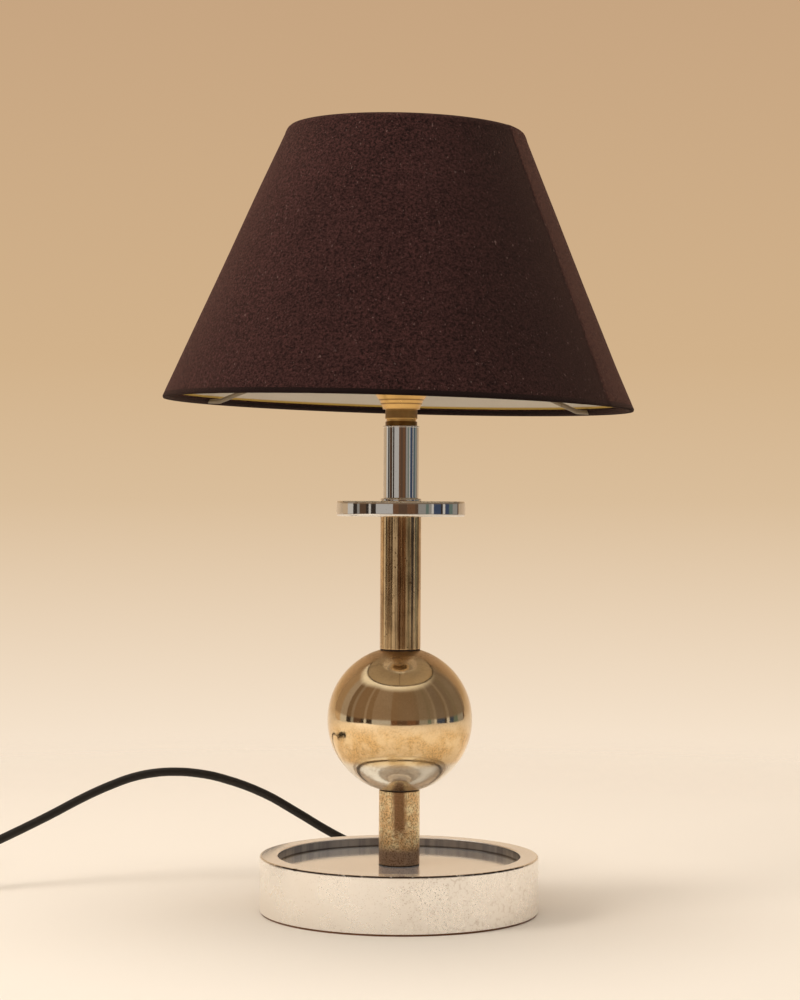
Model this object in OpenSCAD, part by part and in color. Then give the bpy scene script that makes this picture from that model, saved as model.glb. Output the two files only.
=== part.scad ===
// Table lamp: a leaning felt shade on a stem of tubes, a disc and a ball, over a dished round base.
// Millimetres, +Z up, origin on the table under the middle of the base, front towards -Y.

/* [Lamp] */
// Height of the middle of the shade's top edge; the middle tube takes up the rest
lamp_h = 420; // [390:0.1:470]

/* [Base] */
// Outside diameter of the base
base_d = 150; // [140:1:180]
// Height of the rim above the table
base_h = 30.5; // [28:0.5:40]
// Width of the flat rim
rim_w = 9.8; // [7:0.2:14]
// Depth of the dish inside the rim
dish_depth = 5.2; // [3:0.2:6]
// Wall of the base shell
base_wall = 2.5; // [1.5:0.1:3]
// Rounding of the rim's outer edge
rim_round = 0.8; // [0.4:0.1:1.5]
// Thickness of the felt pad
pad_t = 1; // [0.6:0.1:1.6]
// How far the pad stands in from the edge
pad_inset = 0.8; // [0.4:0.1:2]
// Thickness of the steel bottom plate
plate_t = 1.2; // [0.8:0.1:1.6]
// Diameter of the iron weight
weight_d = 128; // [100:1:132]
// Thickness of the iron weight
weight_t = 11; // [9:0.5:11.5]
// Iron left above the nut's recess
weight_web = 5; // [3:0.5:6]
// Diameter of the nut's recess
recess_d = 34; // [28:1:44]
// Diameter of each boss under the weight
boss_d = 11; // [9:0.5:16]
// Radius of the circle of bosses
boss_ring_r = 48; // [38:1:54]
// Thread of the plate screws
plate_screw_d = 4; // [3:0.5:5]
// Length of the plate screws in the bosses
plate_screw_l = 7; // [5:0.5:8]

/* [Stem] */
// Diameter of the hollow threaded rod
rod_d = 10; // [9:0.5:11]
// Bore of the rod
rod_bore = 7; // [6:0.1:7.6]
// Diameter of the lower and middle tubes
tube_d = 22; // [19:0.5:26]
// Wall of those tubes
tube_wall = 1.5; // [1:0.1:2]
// Length of the lower tube
lower_tube_l = 40; // [30:0.5:60]
// Diameter of the ball
ball_d = 78; // [60:0.5:90]
// Wall of the ball
ball_wall = 2; // [1.2:0.1:3]
// Thickness of the dark washers at the ball
ball_washer_t = 0.6; // [0.4:0.1:1]
// Thickness of each centring bush
bush_t = 5; // [3:0.5:8]
// Diameter of the disc
disc_d = 69.5; // [50:0.5:90]
// Thickness of the disc
disc_t = 8.2; // [5:0.2:12]
// Rounding of the disc's edges
disc_round = 1.2; // [0.5:0.1:2]
// Diameter of the collar on the disc
collar_d = 22.2; // [20:0.2:28]
// Height of the collar
collar_h = 1.4; // [0.8:0.1:3]
// Diameter of the upper tube
upper_tube_d = 19.2; // [17:0.1:21]
// Wall of the upper tube
upper_tube_wall = 1.2; // [0.8:0.1:1.6]
// Length of the upper tube
upper_tube_l = 39; // [28:0.5:60]
// Height of the lip at the top of the upper tube
lip_h = 0.8; // [0.5:0.1:1.5]
// How far the lip stands out
lip_out = 0.25; // [0.1:0.05:0.5]
// Width of the hexagon nut across its corners
nut_d = 17; // [15:0.5:20]
// How far the rod stands out under its nut
rod_stand = 1; // [0.5:0.5:2]
// Height of the hexagon nut
nut_h = 4; // [3:0.5:5]
// Diameter of the washer under the weight
washer_d = 24; // [20:1:27]
// Thickness of that washer
washer_t = 1.2; // [0.8:0.1:2]

/* [Lampholder] */
// Diameter of the lock ring
lock_ring_d = 17.2; // [16:0.1:18]
// Height of the lock ring
lock_ring_h = 2.4; // [1.5:0.1:4]
// Diameter of the lock ring's shoulder
lock_shoulder_d = 15.9; // [14:0.1:16]
// Height of that shoulder
lock_shoulder_h = 1.2; // [0.6:0.1:2]
// Diameter of the cap's neck
neck_d = 17.3; // [16:0.1:18]
// Height of the seat ring's collar above the cap's rim
seat_lift = 4.4; // [1:0.1:8]
// Height of the neck
neck_h = 5.5; // [4:0.5:9]
// Width of the cap's ledge under the porcelain core
ledge_w = 1.5; // [1:0.1:2]
// Bevel at the foot of the neck
neck_bevel = 0.5; // [0.3:0.1:1]
// Diameter of the cap where its flare starts
flare_d = 19.9; // [18.5:0.1:22]
// Height of the flare
flare_h = 14.5; // [12:0.5:18]
// Curve of the flare outside, 1 for a plain cone
flare_curve = 1.5; // [1:0.1:2]
// Curve of the flare inside
flare_curve_in = 1.2; // [1:0.1:1.4]
// Height of the cap's straight rim
cap_rim_h = 7; // [5:0.5:9]
// Wall of the cap
cap_wall = 1.2; // [0.8:0.1:1.6]
// Diameter of the threaded skirt
skirt_d = 38; // [37:0.5:40]
// Wall of the skirt
skirt_wall = 1.4; // [1:0.1:1.6]
// Height of the skirt above the cap's ledge
skirt_h = 38; // [35:0.5:44]
// Height of the porcelain core
core_h = 28; // [24:0.5:32]
// Floor of the porcelain core
core_floor = 9; // [7:0.5:11]
// Inside diameter of the screw shell
screw_shell_d = 27; // [26.8:0.1:27.6]
// Wall of the screw shell
screw_shell_wall = 0.6; // [0.4:0.1:0.8]
// Height of the screw shell
screw_shell_h = 18; // [14:0.5:20]
// Diameter of the centre contact
contact_d = 8; // [6:0.5:10]
// Height of the centre contact
contact_h = 2; // [1:0.5:3]
// Side of each terminal block
terminal_w = 5; // [4:0.5:6]
// Distance of each terminal from the axis
terminal_x = 7.5; // [6.5:0.1:7.8]

/* [Bulb] */
// Diameter of the bulb
bulb_d = 60; // [50:1:64]
// Length of the bulb with its cap
bulb_l = 105; // [98:1:110]
// Wall of the glass
glass_t = 1; // [0.6:0.1:1.5]
// How far the glass reaches down into the screw cap
glass_tuck = 4; // [3:0.5:6]
// Diameter of the bulb's screw cap
bulb_cap_d = 26.2; // [25.6:0.1:26.4]
// Height of the screw cap
bulb_cap_h = 19; // [16:0.5:21]
// Wall of the screw cap
bulb_cap_wall = 0.5; // [0.3:0.1:0.8]
// Height of the black insulator
insulator_h = 6; // [5:0.5:8]
// Diameter of the tip contact
tip_d = 9; // [7:0.5:10]
// Height of the tip contact
tip_h = 1.4; // [1:0.1:2]
// Diameter of the glass stem's tip
stem_d = 7; // [5:0.5:9]
// Height of the glass stem above the tip contact
stem_h = 56; // [48:1:62]
// Thickness of the support wires
support_d = 0.8; // [0.6:0.1:1.2]
// Height of the filament above the stem
filament_rise = 16; // [10:1:20]
// Spread of the support wires
filament_w = 22; // [14:1:28]

/* [Shade] */
// Outside diameter at the bottom edge
shade_bottom_d = 254; // [200:1:300]
// Outside diameter at the top edge
shade_top_d = 127; // [110:1:160]
// Height of the shade along its own axis
shade_h = 147.6; // [140:0.1:180]
// Lean of the shade to the right
shade_lean = 1.4; // [0:0.1:1.8]
// Sideways slip of the fitter on its holder
shade_slip = -1; // [-1.8:0.1:0]
// Thickness of the felt cover
felt_t = 1.6; // [1:0.1:2.4]
// Thickness of the lining
lining_t = 0.6; // [0.4:0.1:1]
// Gap between felt and lining
lining_gap = 0.1; // [0.05:0.05:0.3]
// Thickness of the frame's wire
wire_d = 2; // [1.8:0.1:2.6]
// How far the rolled hem stands proud of the cover
hem_proud = 0.3; // [0.2:0.1:0.6]
// Thickness of the felt rolled round the wire
hem_felt = 0.6; // [0.5:0.1:1]
// Bearing of the overlap seam, from the right towards the back
seam_angle = -24; // [-60:1:60]
// Width of the overlap at the bottom edge
seam_w = 10; // [6:0.5:16]
// Thickness that the overlap adds
seam_t = 0.7; // [0.4:0.1:1.2]
// How far each arm runs level inside the bottom edge
arm_level = 9; // [8:0.2:20]
// Thickness of the three arms
arm_d = 2.6; // [2.2:0.1:2.8]
// Number of arms
arm_count = 3; // [3:1:4]
// Height of the fitter ring above the bottom edge
fitter_rise = 30.6; // [26:0.1:34]
// Inside diameter of the fitter ring
fitter_in_d = 43; // [42.4:0.1:44]
// Outside diameter of the fitter ring
fitter_out_d = 62; // [60:1:70]
// Thickness of the fitter ring
fitter_t = 1.6; // [1.2:0.1:2]
// Diameter of the shade rings' flanges
flange_d = 51; // [49:0.5:52]
// Thickness of the flanges
flange_t = 1.5; // [1:0.1:2]
// Diameter of the shade rings' collars
ring_collar_d = 43; // [42:0.5:45]
// Height of those collars
ring_collar_h = 3.5; // [2:0.5:4]

/* [Cord] */
// Diameter of the cord
cord_d = 5; // [4.6:0.1:5.2]
// Height of the cord where it leaves the base
cord_z = 8; // [7.6:0.1:8.4]
// Diameter of the bush where it grips the cord
bush_tip_d = 7; // [6.4:0.1:8]
// Diameter of the bush at the base
bush_root_d = 9.4; // [8.6:0.1:10]
// Length of the tapered bush behind the base
bush_l = 22; // [20:1:26]
// Diameter of the bush's head
bush_head_d = 10.6; // [9.8:0.1:11]
// Thickness of the head
bush_head_t = 2; // [1:0.5:3]
// Diameter of the bush in the wall
bush_neck_d = 8; // [7:0.1:8.4]
// Length of the cord grip
grip_l = 8; // [6:0.5:12]
// Width of the cord grip
grip_w = 18; // [14:1:24]
// How far the cord grip stands in from the weight's edge
grip_inset = 22; // [16:1:26]
// Diameter of each lead wire
lead_d = 2; // [1.6:0.1:2.2]
// Middle to middle of the lead wires
lead_pitch = 2.8; // [2.6:0.1:3.2]
// Straight end of each lead wire at its terminal
lead_end = 2; // [1:0.5:3]
// Radius of the lead wires' bend under the rod
lead_bend = 5; // [4:0.5:5]
// Turns of the put-away coil
coil_turns = 6.25; // [4.25:1:6.25]
// Radius of the coil's inner turn
coil_in_r = 22; // [21:0.5:24]
// Step from one turn to the next
coil_pitch = 5.6; // [5.6:0.1:6]
// Straight cord between the coil and the plug
plug_reach = 23; // [22:1:27]
// Thickness of the coil's tie
tie_t = 0.8; // [0.5:0.1:1]
// Width of the coil's tie
tie_w = 8; // [6:0.5:12]

/* [Switch and plug] */
// Length of the cord switch
switch_l = 62; // [58:1:70]
// Width of the cord switch
switch_w = 25; // [23:0.5:30]
// Height of the cord switch
switch_h = 18; // [17:0.5:20]
// Wall of its two shells
switch_wall = 2; // [1.5:0.1:2.5]
// Thickness of the lugs that hold the rocker's pin
lug_t = 2; // [1.5:0.1:2.5]
// Length of the rocker
rocker_l = 16; // [14:0.5:18]
// Width of the rocker
rocker_w = 9; // [8:0.5:11]
// Swing of the rocker from off to on
rocker_swing = 16; // [10:1:18]
// Height of the rocker's crown above its pin
rocker_crown = 5.5; // [4.5:0.1:6]
// Diameter of the rocker's pin
rocker_pin_d = 2.4; // [2:0.1:3]
// Depth of the rocker's pin under the top of the switch
rocker_pin_depth = 4; // [3.5:0.1:5]
// Side of each contact block
contact_block = 5; // [4:0.5:6]
// Distance of each contact block from the switch's middle
contact_x = 13; // [12:0.5:15]
// Thickness of the link between the contact blocks
link_t = 1.2; // [0.8:0.1:1.5]
// Diameter of the switch screws
switch_screw_d = 3; // [2.5:0.1:3.5]
// How deep the screw heads sit in the base
screw_sink = 1; // [0.5:0.1:1.5]
// Distance of each screw from the switch's middle
switch_screw_x = 20; // [19:0.5:22]
// Length of cord held in each end of the switch
cord_hold = 8; // [6:0.5:10]
// Width of the plug
plug_w = 36; // [34:0.5:40]
// Length of the plug's body
plug_l = 34; // [28:0.5:40]
// Length of the plug's boot
plug_boot_l = 14; // [10:0.5:20]
// Depth of the pins' holes in the plug
pin_hold = 8; // [6:0.5:12]
// Diameter of the boot where the cord goes in
boot_d = 8; // [7:0.1:10]
// How far the boot stands in from the plug's faces
boot_inset = 2; // [1:0.1:3]
// Gap under the plug
plug_lift = 0.1; // [0.05:0.05:0.3]
// Diameter of the pins
pin_d = 4; // [3.8:0.1:4.8]
// Length of the pins
pin_l = 19; // [17:0.5:20]
// Middle to middle of the pins
pin_pitch = 18.6; // [17:0.1:19]

/* [Fits] */
// Radial gap of a hole round the rod
rod_gap = 0.2; // [0.1:0.05:0.4]
// Radial gap of a screwed or pushed fit
fit_gap = 0.1; // [0.05:0.05:0.2]
// How far a cutting solid reaches past the face it cuts
over = 1; // [0.5:0.5:2]
// Gap between pieces that move past each other
run_gap = 0.3; // [0.3:0.05:0.5]
// Radial gap of the rocker on its pin
pin_gap = 0.05; // [0.03:0.01:0.1]

/* [Hidden] */
$fn = 96;

brass = "#b98d4a";
nickel = "#d9cdb8";
chrome = "#c9cbce";
steel = "#8d9095";
black = "#1c1a19";
cream = "#efe6d2";

// Heights up the stem
dish_z = base_h - dish_depth;
shell_floor_z = dish_z - base_wall;
web_z = shell_floor_z - weight_web;
weight_z = shell_floor_z - weight_t;
plate_z = pad_t + plate_t;
nut_z = web_z - washer_t - nut_h;
rod_z = nut_z - rod_stand;
ball_flat = sqrt(pow(ball_d / 2, 2) - pow(tube_d / 2, 2));
ball_z = dish_z + lower_tube_l + ball_washer_t + ball_flat;
middle_z = ball_z + ball_flat + ball_washer_t;
fitter_room = fitter_t + flange_d * sin(shade_lean) + 2 * run_gap;
above_tube = disc_t + collar_h + upper_tube_l + lock_ring_h + lock_shoulder_h + neck_h + flare_h + cap_rim_h
    + seat_lift + ring_collar_h + flange_t + fitter_room / 2 + (shade_h - fitter_rise) * cos(shade_lean);
middle_tube_l = lamp_h - middle_z - above_tube;
disc_z = middle_z + middle_tube_l;
collar_z = disc_z + disc_t;
upper_z = collar_z + collar_h;
lock_z = upper_z + upper_tube_l;
holder_z = lock_z + lock_ring_h + lock_shoulder_h;
ledge_z = holder_z + neck_h + flare_h;
rod_top = holder_z + neck_h;
core_floor_z = ledge_z + core_floor;
tip_z = core_floor_z + contact_h + run_gap;
rod_hole_d = rod_d + 2 * rod_gap;
rod_thread_d = rod_d + 2 * fit_gap;

// Radii of the lampholder
skirt_r = skirt_d / 2;
core_r = skirt_r - skirt_wall - fit_gap;
ledge_r = core_r - ledge_w;
cap_r = skirt_r + fit_gap + cap_wall;

// The shade's cone, its hems and its seat between the two rings
half_angle = atan((shade_bottom_d - shade_top_d) / 2 / shade_h);
hem_r = wire_d / 2 + fit_gap + hem_felt;
fitter_z = ledge_z + cap_rim_h + seat_lift + ring_collar_h + flange_t + fitter_room / 2;
function cone_r(z) = shade_bottom_d / 2 + (shade_top_d - shade_bottom_d) / 2 * z / shade_h;
function hem_x(z) = cone_r(z) - (hem_r - hem_proud) / cos(half_angle);
function arm_angle(i) = -90 + 360 / arm_count * i;

// The cord's places: out of the base, in an arch through the air, into the switch, on into the coil
exit_y = base_d / 2 + bush_l;
grip_y = weight_d / 2 - grip_inset;
switch_x = -326;
switch_y = 36;
switch_mid_z = switch_h / 2;
switch_entry = switch_x + switch_l / 2;
switch_leave = switch_x - switch_l / 2;
arch_points = [[0, exit_y, cord_z], [0, exit_y + 6, cord_z + 0.3], [-3, 112, 9.5], [-9, 120, 12],
    [-18, 125, 14.2], [-29, 127, 18.4], [-42, 127, 25], [-61, 126, 36.4], [-80, 124, 47.3], [-104, 120, 56.6],
    [-118, 116, 60], [-132, 112, 61.4], [-144, 108, 61], [-156, 104, 58.8], [-168, 98, 54.8],
    [-180, 92, 49.8], [-203, 80, 38.4], [-227, 67, 27.4], [-247, 55, 18.8], [-263, 45.5, 13.3], [-276, 39, 10.2],
    [switch_entry + cord_hold, switch_y, switch_mid_z], [switch_entry - cord_hold, switch_y, switch_mid_z]];
coil_x = -344;
coil_y = 98;
coil_z = tie_t + run_gap + cord_d / 2;
coil_layer = coil_pitch;
coil_end = 360 * coil_turns;
coil_out_r = coil_in_r + coil_pitch * coil_turns / 2;
tail_points = [[switch_leave + cord_hold, switch_y, switch_mid_z], [switch_leave - 3, switch_y, switch_mid_z],
    [-369, 38, 7.8], [-376, 43, 6.2], [-381, 51, 5], [-383, 61, 4.2], [coil_x - coil_out_r, 74, coil_z],
    [coil_x - coil_out_r, 86, coil_z]];
plug_start = coil_x + plug_reach;
plug_y = coil_y + coil_out_r;
plug_z = coil_z + coil_layer;
plug_t = 2 * (plug_z - plug_lift);

// One point of the coil: in along the lower layer, up in the half turn where it reverses, out along the upper
function coil_point(a) =
    let (back = abs(a - coil_end / 2),
        r = coil_in_r + coil_pitch * back / 360,
        climb = min(max((a - coil_end / 2 + 90) / 180, 0), 1))
    [coil_x + r * cos(180 - a), coil_y + r * sin(180 - a), coil_z + climb * coil_layer];
coil_points = concat(tail_points, [for (a = [0 : 15 : coil_end]) coil_point(a)],
    [[plug_start - cord_d / 2, plug_y, plug_z], [plug_start, plug_y, plug_z]]);
coil_gap = min([for (i = [0 : len(coil_points) - 1], j = [i + 12 : 1 : len(coil_points) - 1])
    norm(coil_points[i] - coil_points[j])]) - cord_d;
echo(least_gap_in_the_coil = coil_gap);

// A unit vector
function unit(v) = v / norm(v);

// A tube of flat sides swept along points; side_ref is a direction that the route never follows
module swept(points, d, sides, side_ref) {
    last = len(points) - 1;
    rings = [for (i = [0 : last])
        let (along = unit(points[min(i + 1, last)] - points[max(i - 1, 0)]),
            side = unit(cross(side_ref, along)), up = cross(along, side))
        for (k = [0 : sides - 1])
            points[i] + d / 2 * (cos(360 * k / sides) * side + sin(360 * k / sides) * up)];
    walls = [for (i = [0 : last - 1], k = [0 : sides - 1])
        let (a = i * sides + k, b = i * sides + (k + 1) % sides)
        each [[a, a + sides, b + sides], [a, b + sides, b]]];
    ends = [for (k = [1 : sides - 2])
        each [[0, k, k + 1], [last * sides, last * sides + k + 1, last * sides + k]]];
    polyhedron(rings, concat(walls, ends));
}

// A straight rod from one point to another
module rod(from, to, d) {
    v = to - from;
    translate(from) rotate([0, acos(v[2] / norm(v)), atan2(v[1], v[0])]) cylinder(d = d, h = norm(v));
}

// A tube standing at a height
module pipe(outer, inner, h, z) {
    translate([0, 0, z]) difference() {
        cylinder(d = outer, h = h);
        translate([0, 0, -over]) cylinder(d = inner, h = h + 2 * over);
    }
}

// Copies at the three bosses
module at_bosses() {
    for (a = [30, 150, 270]) rotate(a) translate([boss_ring_r, 0, 0]) children();
}

// Puts the shade's pieces, drawn upright over their own bottom edge, where the shade leans on its fitter
module as_it_leans() {
    translate([shade_slip, 0, fitter_z]) rotate([0, shade_lean, 0])
        translate([0, 0, -fitter_rise]) children();
}

module base_shell() {
    r = base_d / 2;
    dish_r = r - rim_w;
    color(nickel) difference() {
        rotate_extrude() union() {
            polygon([[r - base_wall, pad_t], [r, pad_t], [r, base_h - rim_round], [r - rim_round, base_h],
                [dish_r, base_h], [dish_r, dish_z], [rod_hole_d / 2, dish_z], [rod_hole_d / 2, shell_floor_z],
                [dish_r + base_wall, shell_floor_z], [dish_r + base_wall, base_h - base_wall],
                [r - base_wall, base_h - base_wall]]);
            intersection() {
                translate([r - rim_round, base_h - rim_round]) circle(r = rim_round);
                translate([r - rim_round, base_h - rim_round]) square(rim_round);
            }
        }
        translate([0, r - 3 * base_wall, cord_z]) rotate([-90, 0, 0])
            cylinder(d = bush_neck_d + 2 * fit_gap, h = 4 * base_wall);
    }
}

module base_pad() {
    color("#4a2f1e") cylinder(d = base_d - 2 * pad_inset, h = pad_t);
}

module base_plate() {
    color(steel) translate([0, 0, pad_t]) difference() {
        cylinder(r = base_d / 2 - base_wall - fit_gap, h = plate_t);
        at_bosses() translate([0, 0, -over])
            cylinder(d = plate_screw_d + 2 * fit_gap, h = plate_t + 2 * over);
    }
}

module plate_screws() {
    color(steel) at_bosses() translate([0, 0, pad_t])
        cylinder(d = plate_screw_d, h = plate_t + plate_screw_l);
}

module base_weight() {
    color("#3b3b3d") difference() {
        union() {
            translate([0, 0, weight_z]) cylinder(d = weight_d, h = weight_t);
            at_bosses() translate([0, 0, plate_z]) cylinder(d = boss_d, h = weight_z - plate_z + over);
        }
        translate([0, 0, weight_z - over]) cylinder(d = recess_d, h = web_z - weight_z + over);
        translate([0, 0, weight_z]) cylinder(d = rod_hole_d, h = weight_t + over);
        at_bosses() translate([0, 0, pad_t])
            cylinder(d = plate_screw_d + 2 * fit_gap, h = plate_t + plate_screw_l + fit_gap);
    }
}

module rod_washer() {
    color(steel) pipe(washer_d, rod_hole_d, washer_t, web_z - washer_t);
}

module rod_nut() {
    color(steel) translate([0, 0, nut_z]) difference() {
        cylinder(d = nut_d, h = nut_h, $fn = 6);
        translate([0, 0, -over]) cylinder(d = rod_thread_d, h = nut_h + 2 * over);
    }
}

module stem_rod() {
    color(brass) pipe(rod_d, rod_bore, rod_top - rod_z, rod_z);
}

module lower_tube() {
    color(brass) pipe(tube_d, tube_d - 2 * tube_wall, lower_tube_l, dish_z);
}

module ball() {
    inside = ball_d / 2 - ball_wall;
    color(nickel) translate([0, 0, ball_z]) difference() {
        intersection() {
            sphere(d = ball_d);
            cube([2 * ball_d, 2 * ball_d, 2 * ball_flat], center = true);
        }
        intersection() {
            sphere(r = inside);
            cube([2 * ball_d, 2 * ball_d, 2 * (ball_flat - ball_wall)], center = true);
        }
        cylinder(d = rod_hole_d, h = 2 * ball_d, center = true);
    }
}

module ball_washers() {
    color(black) for (z = [ball_z - ball_flat - ball_washer_t, ball_z + ball_flat])
        pipe(tube_d - ball_washer_t, rod_hole_d, ball_washer_t, z);
}

module middle_tube() {
    color(brass) pipe(tube_d, tube_d - 2 * tube_wall, middle_tube_l, middle_z);
}

module centring_bushes() {
    wide = tube_d - 2 * tube_wall - 2 * fit_gap;
    slim = upper_tube_d - 2 * upper_tube_wall - 2 * fit_gap;
    color(brass) {
        for (z = [dish_z, dish_z + lower_tube_l - bush_t, middle_z, middle_z + middle_tube_l - bush_t])
            pipe(wide, rod_hole_d, bush_t, z);
        for (z = [upper_z, lock_z - bush_t])
            pipe(slim, rod_hole_d, bush_t, z);
    }
}

module stem_disc() {
    r = disc_d / 2;
    color(chrome) translate([0, 0, disc_z]) rotate_extrude() union() {
        translate([rod_hole_d / 2, 0]) square([r - disc_round - rod_hole_d / 2, disc_t]);
        translate([r - disc_round - over, disc_round]) square([disc_round + over, disc_t - 2 * disc_round]);
        for (z = [disc_round, disc_t - disc_round]) translate([r - disc_round, z]) circle(r = disc_round);
    }
}

module disc_collar() {
    color(chrome) pipe(collar_d, rod_hole_d, collar_h, collar_z);
}

module upper_tube() {
    color(chrome) difference() {
        union() {
            translate([0, 0, upper_z]) cylinder(d = upper_tube_d, h = upper_tube_l);
            translate([0, 0, lock_z - lip_h]) cylinder(d = upper_tube_d + 2 * lip_out, h = lip_h);
        }
        translate([0, 0, upper_z - over])
            cylinder(d = upper_tube_d - 2 * upper_tube_wall, h = upper_tube_l + 2 * over);
    }
}

module lock_ring() {
    color("#7d5a2b") difference() {
        union() {
            translate([0, 0, lock_z]) cylinder(d = lock_ring_d, h = lock_ring_h);
            translate([0, 0, lock_z + lock_ring_h]) cylinder(d = lock_shoulder_d, h = lock_shoulder_h);
        }
        translate([0, 0, lock_z - over])
            cylinder(d = rod_thread_d, h = lock_ring_h + lock_shoulder_h + 2 * over);
    }
}

module holder_cap() {
    steps = 8;
    shelf = neck_h + flare_h;
    bore = rod_thread_d / 2;
    color(brass) translate([0, 0, holder_z]) rotate_extrude() polygon(concat(
        [[bore, 0], [neck_d / 2 - neck_bevel, 0], [neck_d / 2, neck_bevel], [neck_d / 2, neck_h]],
        [for (i = [0 : steps])
            [flare_d / 2 + (cap_r - flare_d / 2) * pow(i / steps, flare_curve),
                neck_h + flare_h * i / steps]],
        [[cap_r, shelf + cap_rim_h], [cap_r - cap_wall, shelf + cap_rim_h], [cap_r - cap_wall, shelf],
            [ledge_r, shelf]],
        [for (i = [steps - 1 : -1 : 1])
            [bore + (ledge_r - bore) * pow(i / steps, flare_curve_in),
                neck_h + cap_wall + (flare_h - cap_wall) * i / steps]],
        [[bore, neck_h + cap_wall]]));
}

module holder_skirt() {
    color(brass) pipe(skirt_d, skirt_d - 2 * skirt_wall, skirt_h, ledge_z);
}

module holder_core() {
    shell_r = screw_shell_d / 2 + screw_shell_wall + fit_gap;
    color(cream) translate([0, 0, ledge_z]) difference() {
        cylinder(r = core_r, h = core_h);
        translate([0, 0, core_floor]) cylinder(r = shell_r, h = core_h);
    }
}

module screw_shell() {
    color(brass) pipe(screw_shell_d + 2 * screw_shell_wall, screw_shell_d, screw_shell_h, core_floor_z);
}

module centre_contact() {
    color(brass) translate([0, 0, core_floor_z]) cylinder(d = contact_d, h = contact_h);
}

module terminals() {
    color(brass) for (side = [-1, 1])
        translate([side * terminal_x - terminal_w / 2, -terminal_w / 2, ledge_z - terminal_w])
            cube(terminal_w);
}

// A shade ring: a flange with a short collar, screwed on the skirt
module shade_ring(z, collar_up) {
    color(brass) translate([0, 0, z]) mirror([0, 0, collar_up ? 0 : 1]) difference() {
        union() {
            cylinder(d = flange_d, h = flange_t);
            cylinder(d = ring_collar_d, h = flange_t + ring_collar_h);
        }
        translate([0, 0, -over]) cylinder(r = skirt_r + fit_gap, h = flange_t + ring_collar_h + 2 * over);
    }
}

module seat_ring() {
    shade_ring(fitter_z - fitter_room / 2, false);
}

module clamp_ring() {
    shade_ring(fitter_z + fitter_room / 2, true);
}

// The bulb's outline from its neck to its crown, drawn in by a wall
function bulb_outline(wall) =
    let (r = bulb_d / 2, neck = bulb_cap_d / 2 - bulb_cap_wall - fit_gap,
        low = insulator_h + tip_h + bulb_cap_h, mid = bulb_l - r)
    concat([[neck - wall, low - glass_tuck], [neck - wall, low]],
        [for (i = [1 : 6]) let (t = i / 7, s = t * t * (3 - 2 * t))
            [neck + (r - neck) * s - wall, low + (mid - low) * t]],
        [for (a = [0 : 10 : 80]) [(r - wall) * cos(a), mid + (r - wall) * sin(a)]],
        [[0, bulb_l - wall]]);

module bulb_glass() {
    low = insulator_h + tip_h + bulb_cap_h - glass_tuck;
    color("#f2efe6") translate([0, 0, tip_z]) union() {
        rotate_extrude() polygon(concat(bulb_outline(0),
            [for (i = [len(bulb_outline(0)) - 1 : -1 : 0]) bulb_outline(glass_t)[i]]));
        translate([0, 0, low])
            cylinder(r = bulb_cap_d / 2 - bulb_cap_wall - fit_gap - glass_t / 2, h = 2 * glass_t);
        translate([0, 0, low]) cylinder(d = stem_d, h = stem_h - low);
    }
}

module bulb_filament() {
    foot = tip_z + stem_h;
    color(steel) union() {
        for (side = [-1, 1])
            rod([side * stem_d / 4, 0, foot + support_d / 2],
                [side * filament_w / 2, 0, foot + filament_rise], support_d);
        rod([-filament_w / 2, 0, foot + filament_rise], [filament_w / 2, 0, foot + filament_rise], support_d);
    }
}

module bulb_cap() {
    color(chrome) pipe(bulb_cap_d, bulb_cap_d - 2 * bulb_cap_wall, bulb_cap_h, tip_z + tip_h + insulator_h);
}

module bulb_insulator() {
    color(black) translate([0, 0, tip_z + tip_h])
        cylinder(r1 = tip_d / 2, r2 = bulb_cap_d / 2, h = insulator_h);
}

module bulb_contact() {
    color(brass) translate([0, 0, tip_z]) cylinder(d = tip_d, h = tip_h);
}

module shade_cover() {
    inset = felt_t / cos(half_angle);
    low = hem_r;
    high = shade_h - hem_r;
    slit_w = arm_d + 2 * run_gap;
    color("#3b2421") as_it_leans() difference() {
        union() {
            rotate_extrude() difference() {
                union() {
                    polygon([[cone_r(low) - inset, low], [cone_r(low), low], [cone_r(high), high],
                        [cone_r(high) - inset, high]]);
                    for (z = [low, high]) translate([hem_x(z), z]) circle(r = hem_r);
                }
                for (z = [low, high]) translate([hem_x(z), z]) circle(d = wire_d + 2 * fit_gap);
            }
            rotate(seam_angle) rotate_extrude(angle = seam_w / shade_bottom_d * 360 / PI)
                polygon([[cone_r(2 * low) - inset / 2, 2 * low], [cone_r(2 * low) + seam_t, 2 * low],
                    [cone_r(high - low) + seam_t, high - low], [cone_r(high - low) - inset / 2, high - low]]);
        }
        for (i = [0 : arm_count - 1]) rotate(arm_angle(i))
            translate([hem_x(hem_r) - arm_level, -slit_w / 2, -over])
                cube([arm_level, slit_w, over + hem_r + slit_w / 2]);
    }
}

module shade_lining() {
    inset = felt_t / cos(half_angle) + lining_gap;
    thick = lining_t / cos(half_angle);
    low = 2 * hem_r + run_gap;
    high = shade_h - 2 * hem_r - run_gap;
    color(cream) as_it_leans() rotate_extrude()
        polygon([[cone_r(low) - inset - thick, low], [cone_r(low) - inset, low], [cone_r(high) - inset, high],
            [cone_r(high) - inset - thick, high]]);
}

// A wire ring in a hem
module wire_ring(z) {
    rotate_extrude() translate([hem_x(z), z]) circle(d = wire_d);
}

module shade_top_ring() {
    color(chrome) as_it_leans() wire_ring(shade_h - hem_r);
}

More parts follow.
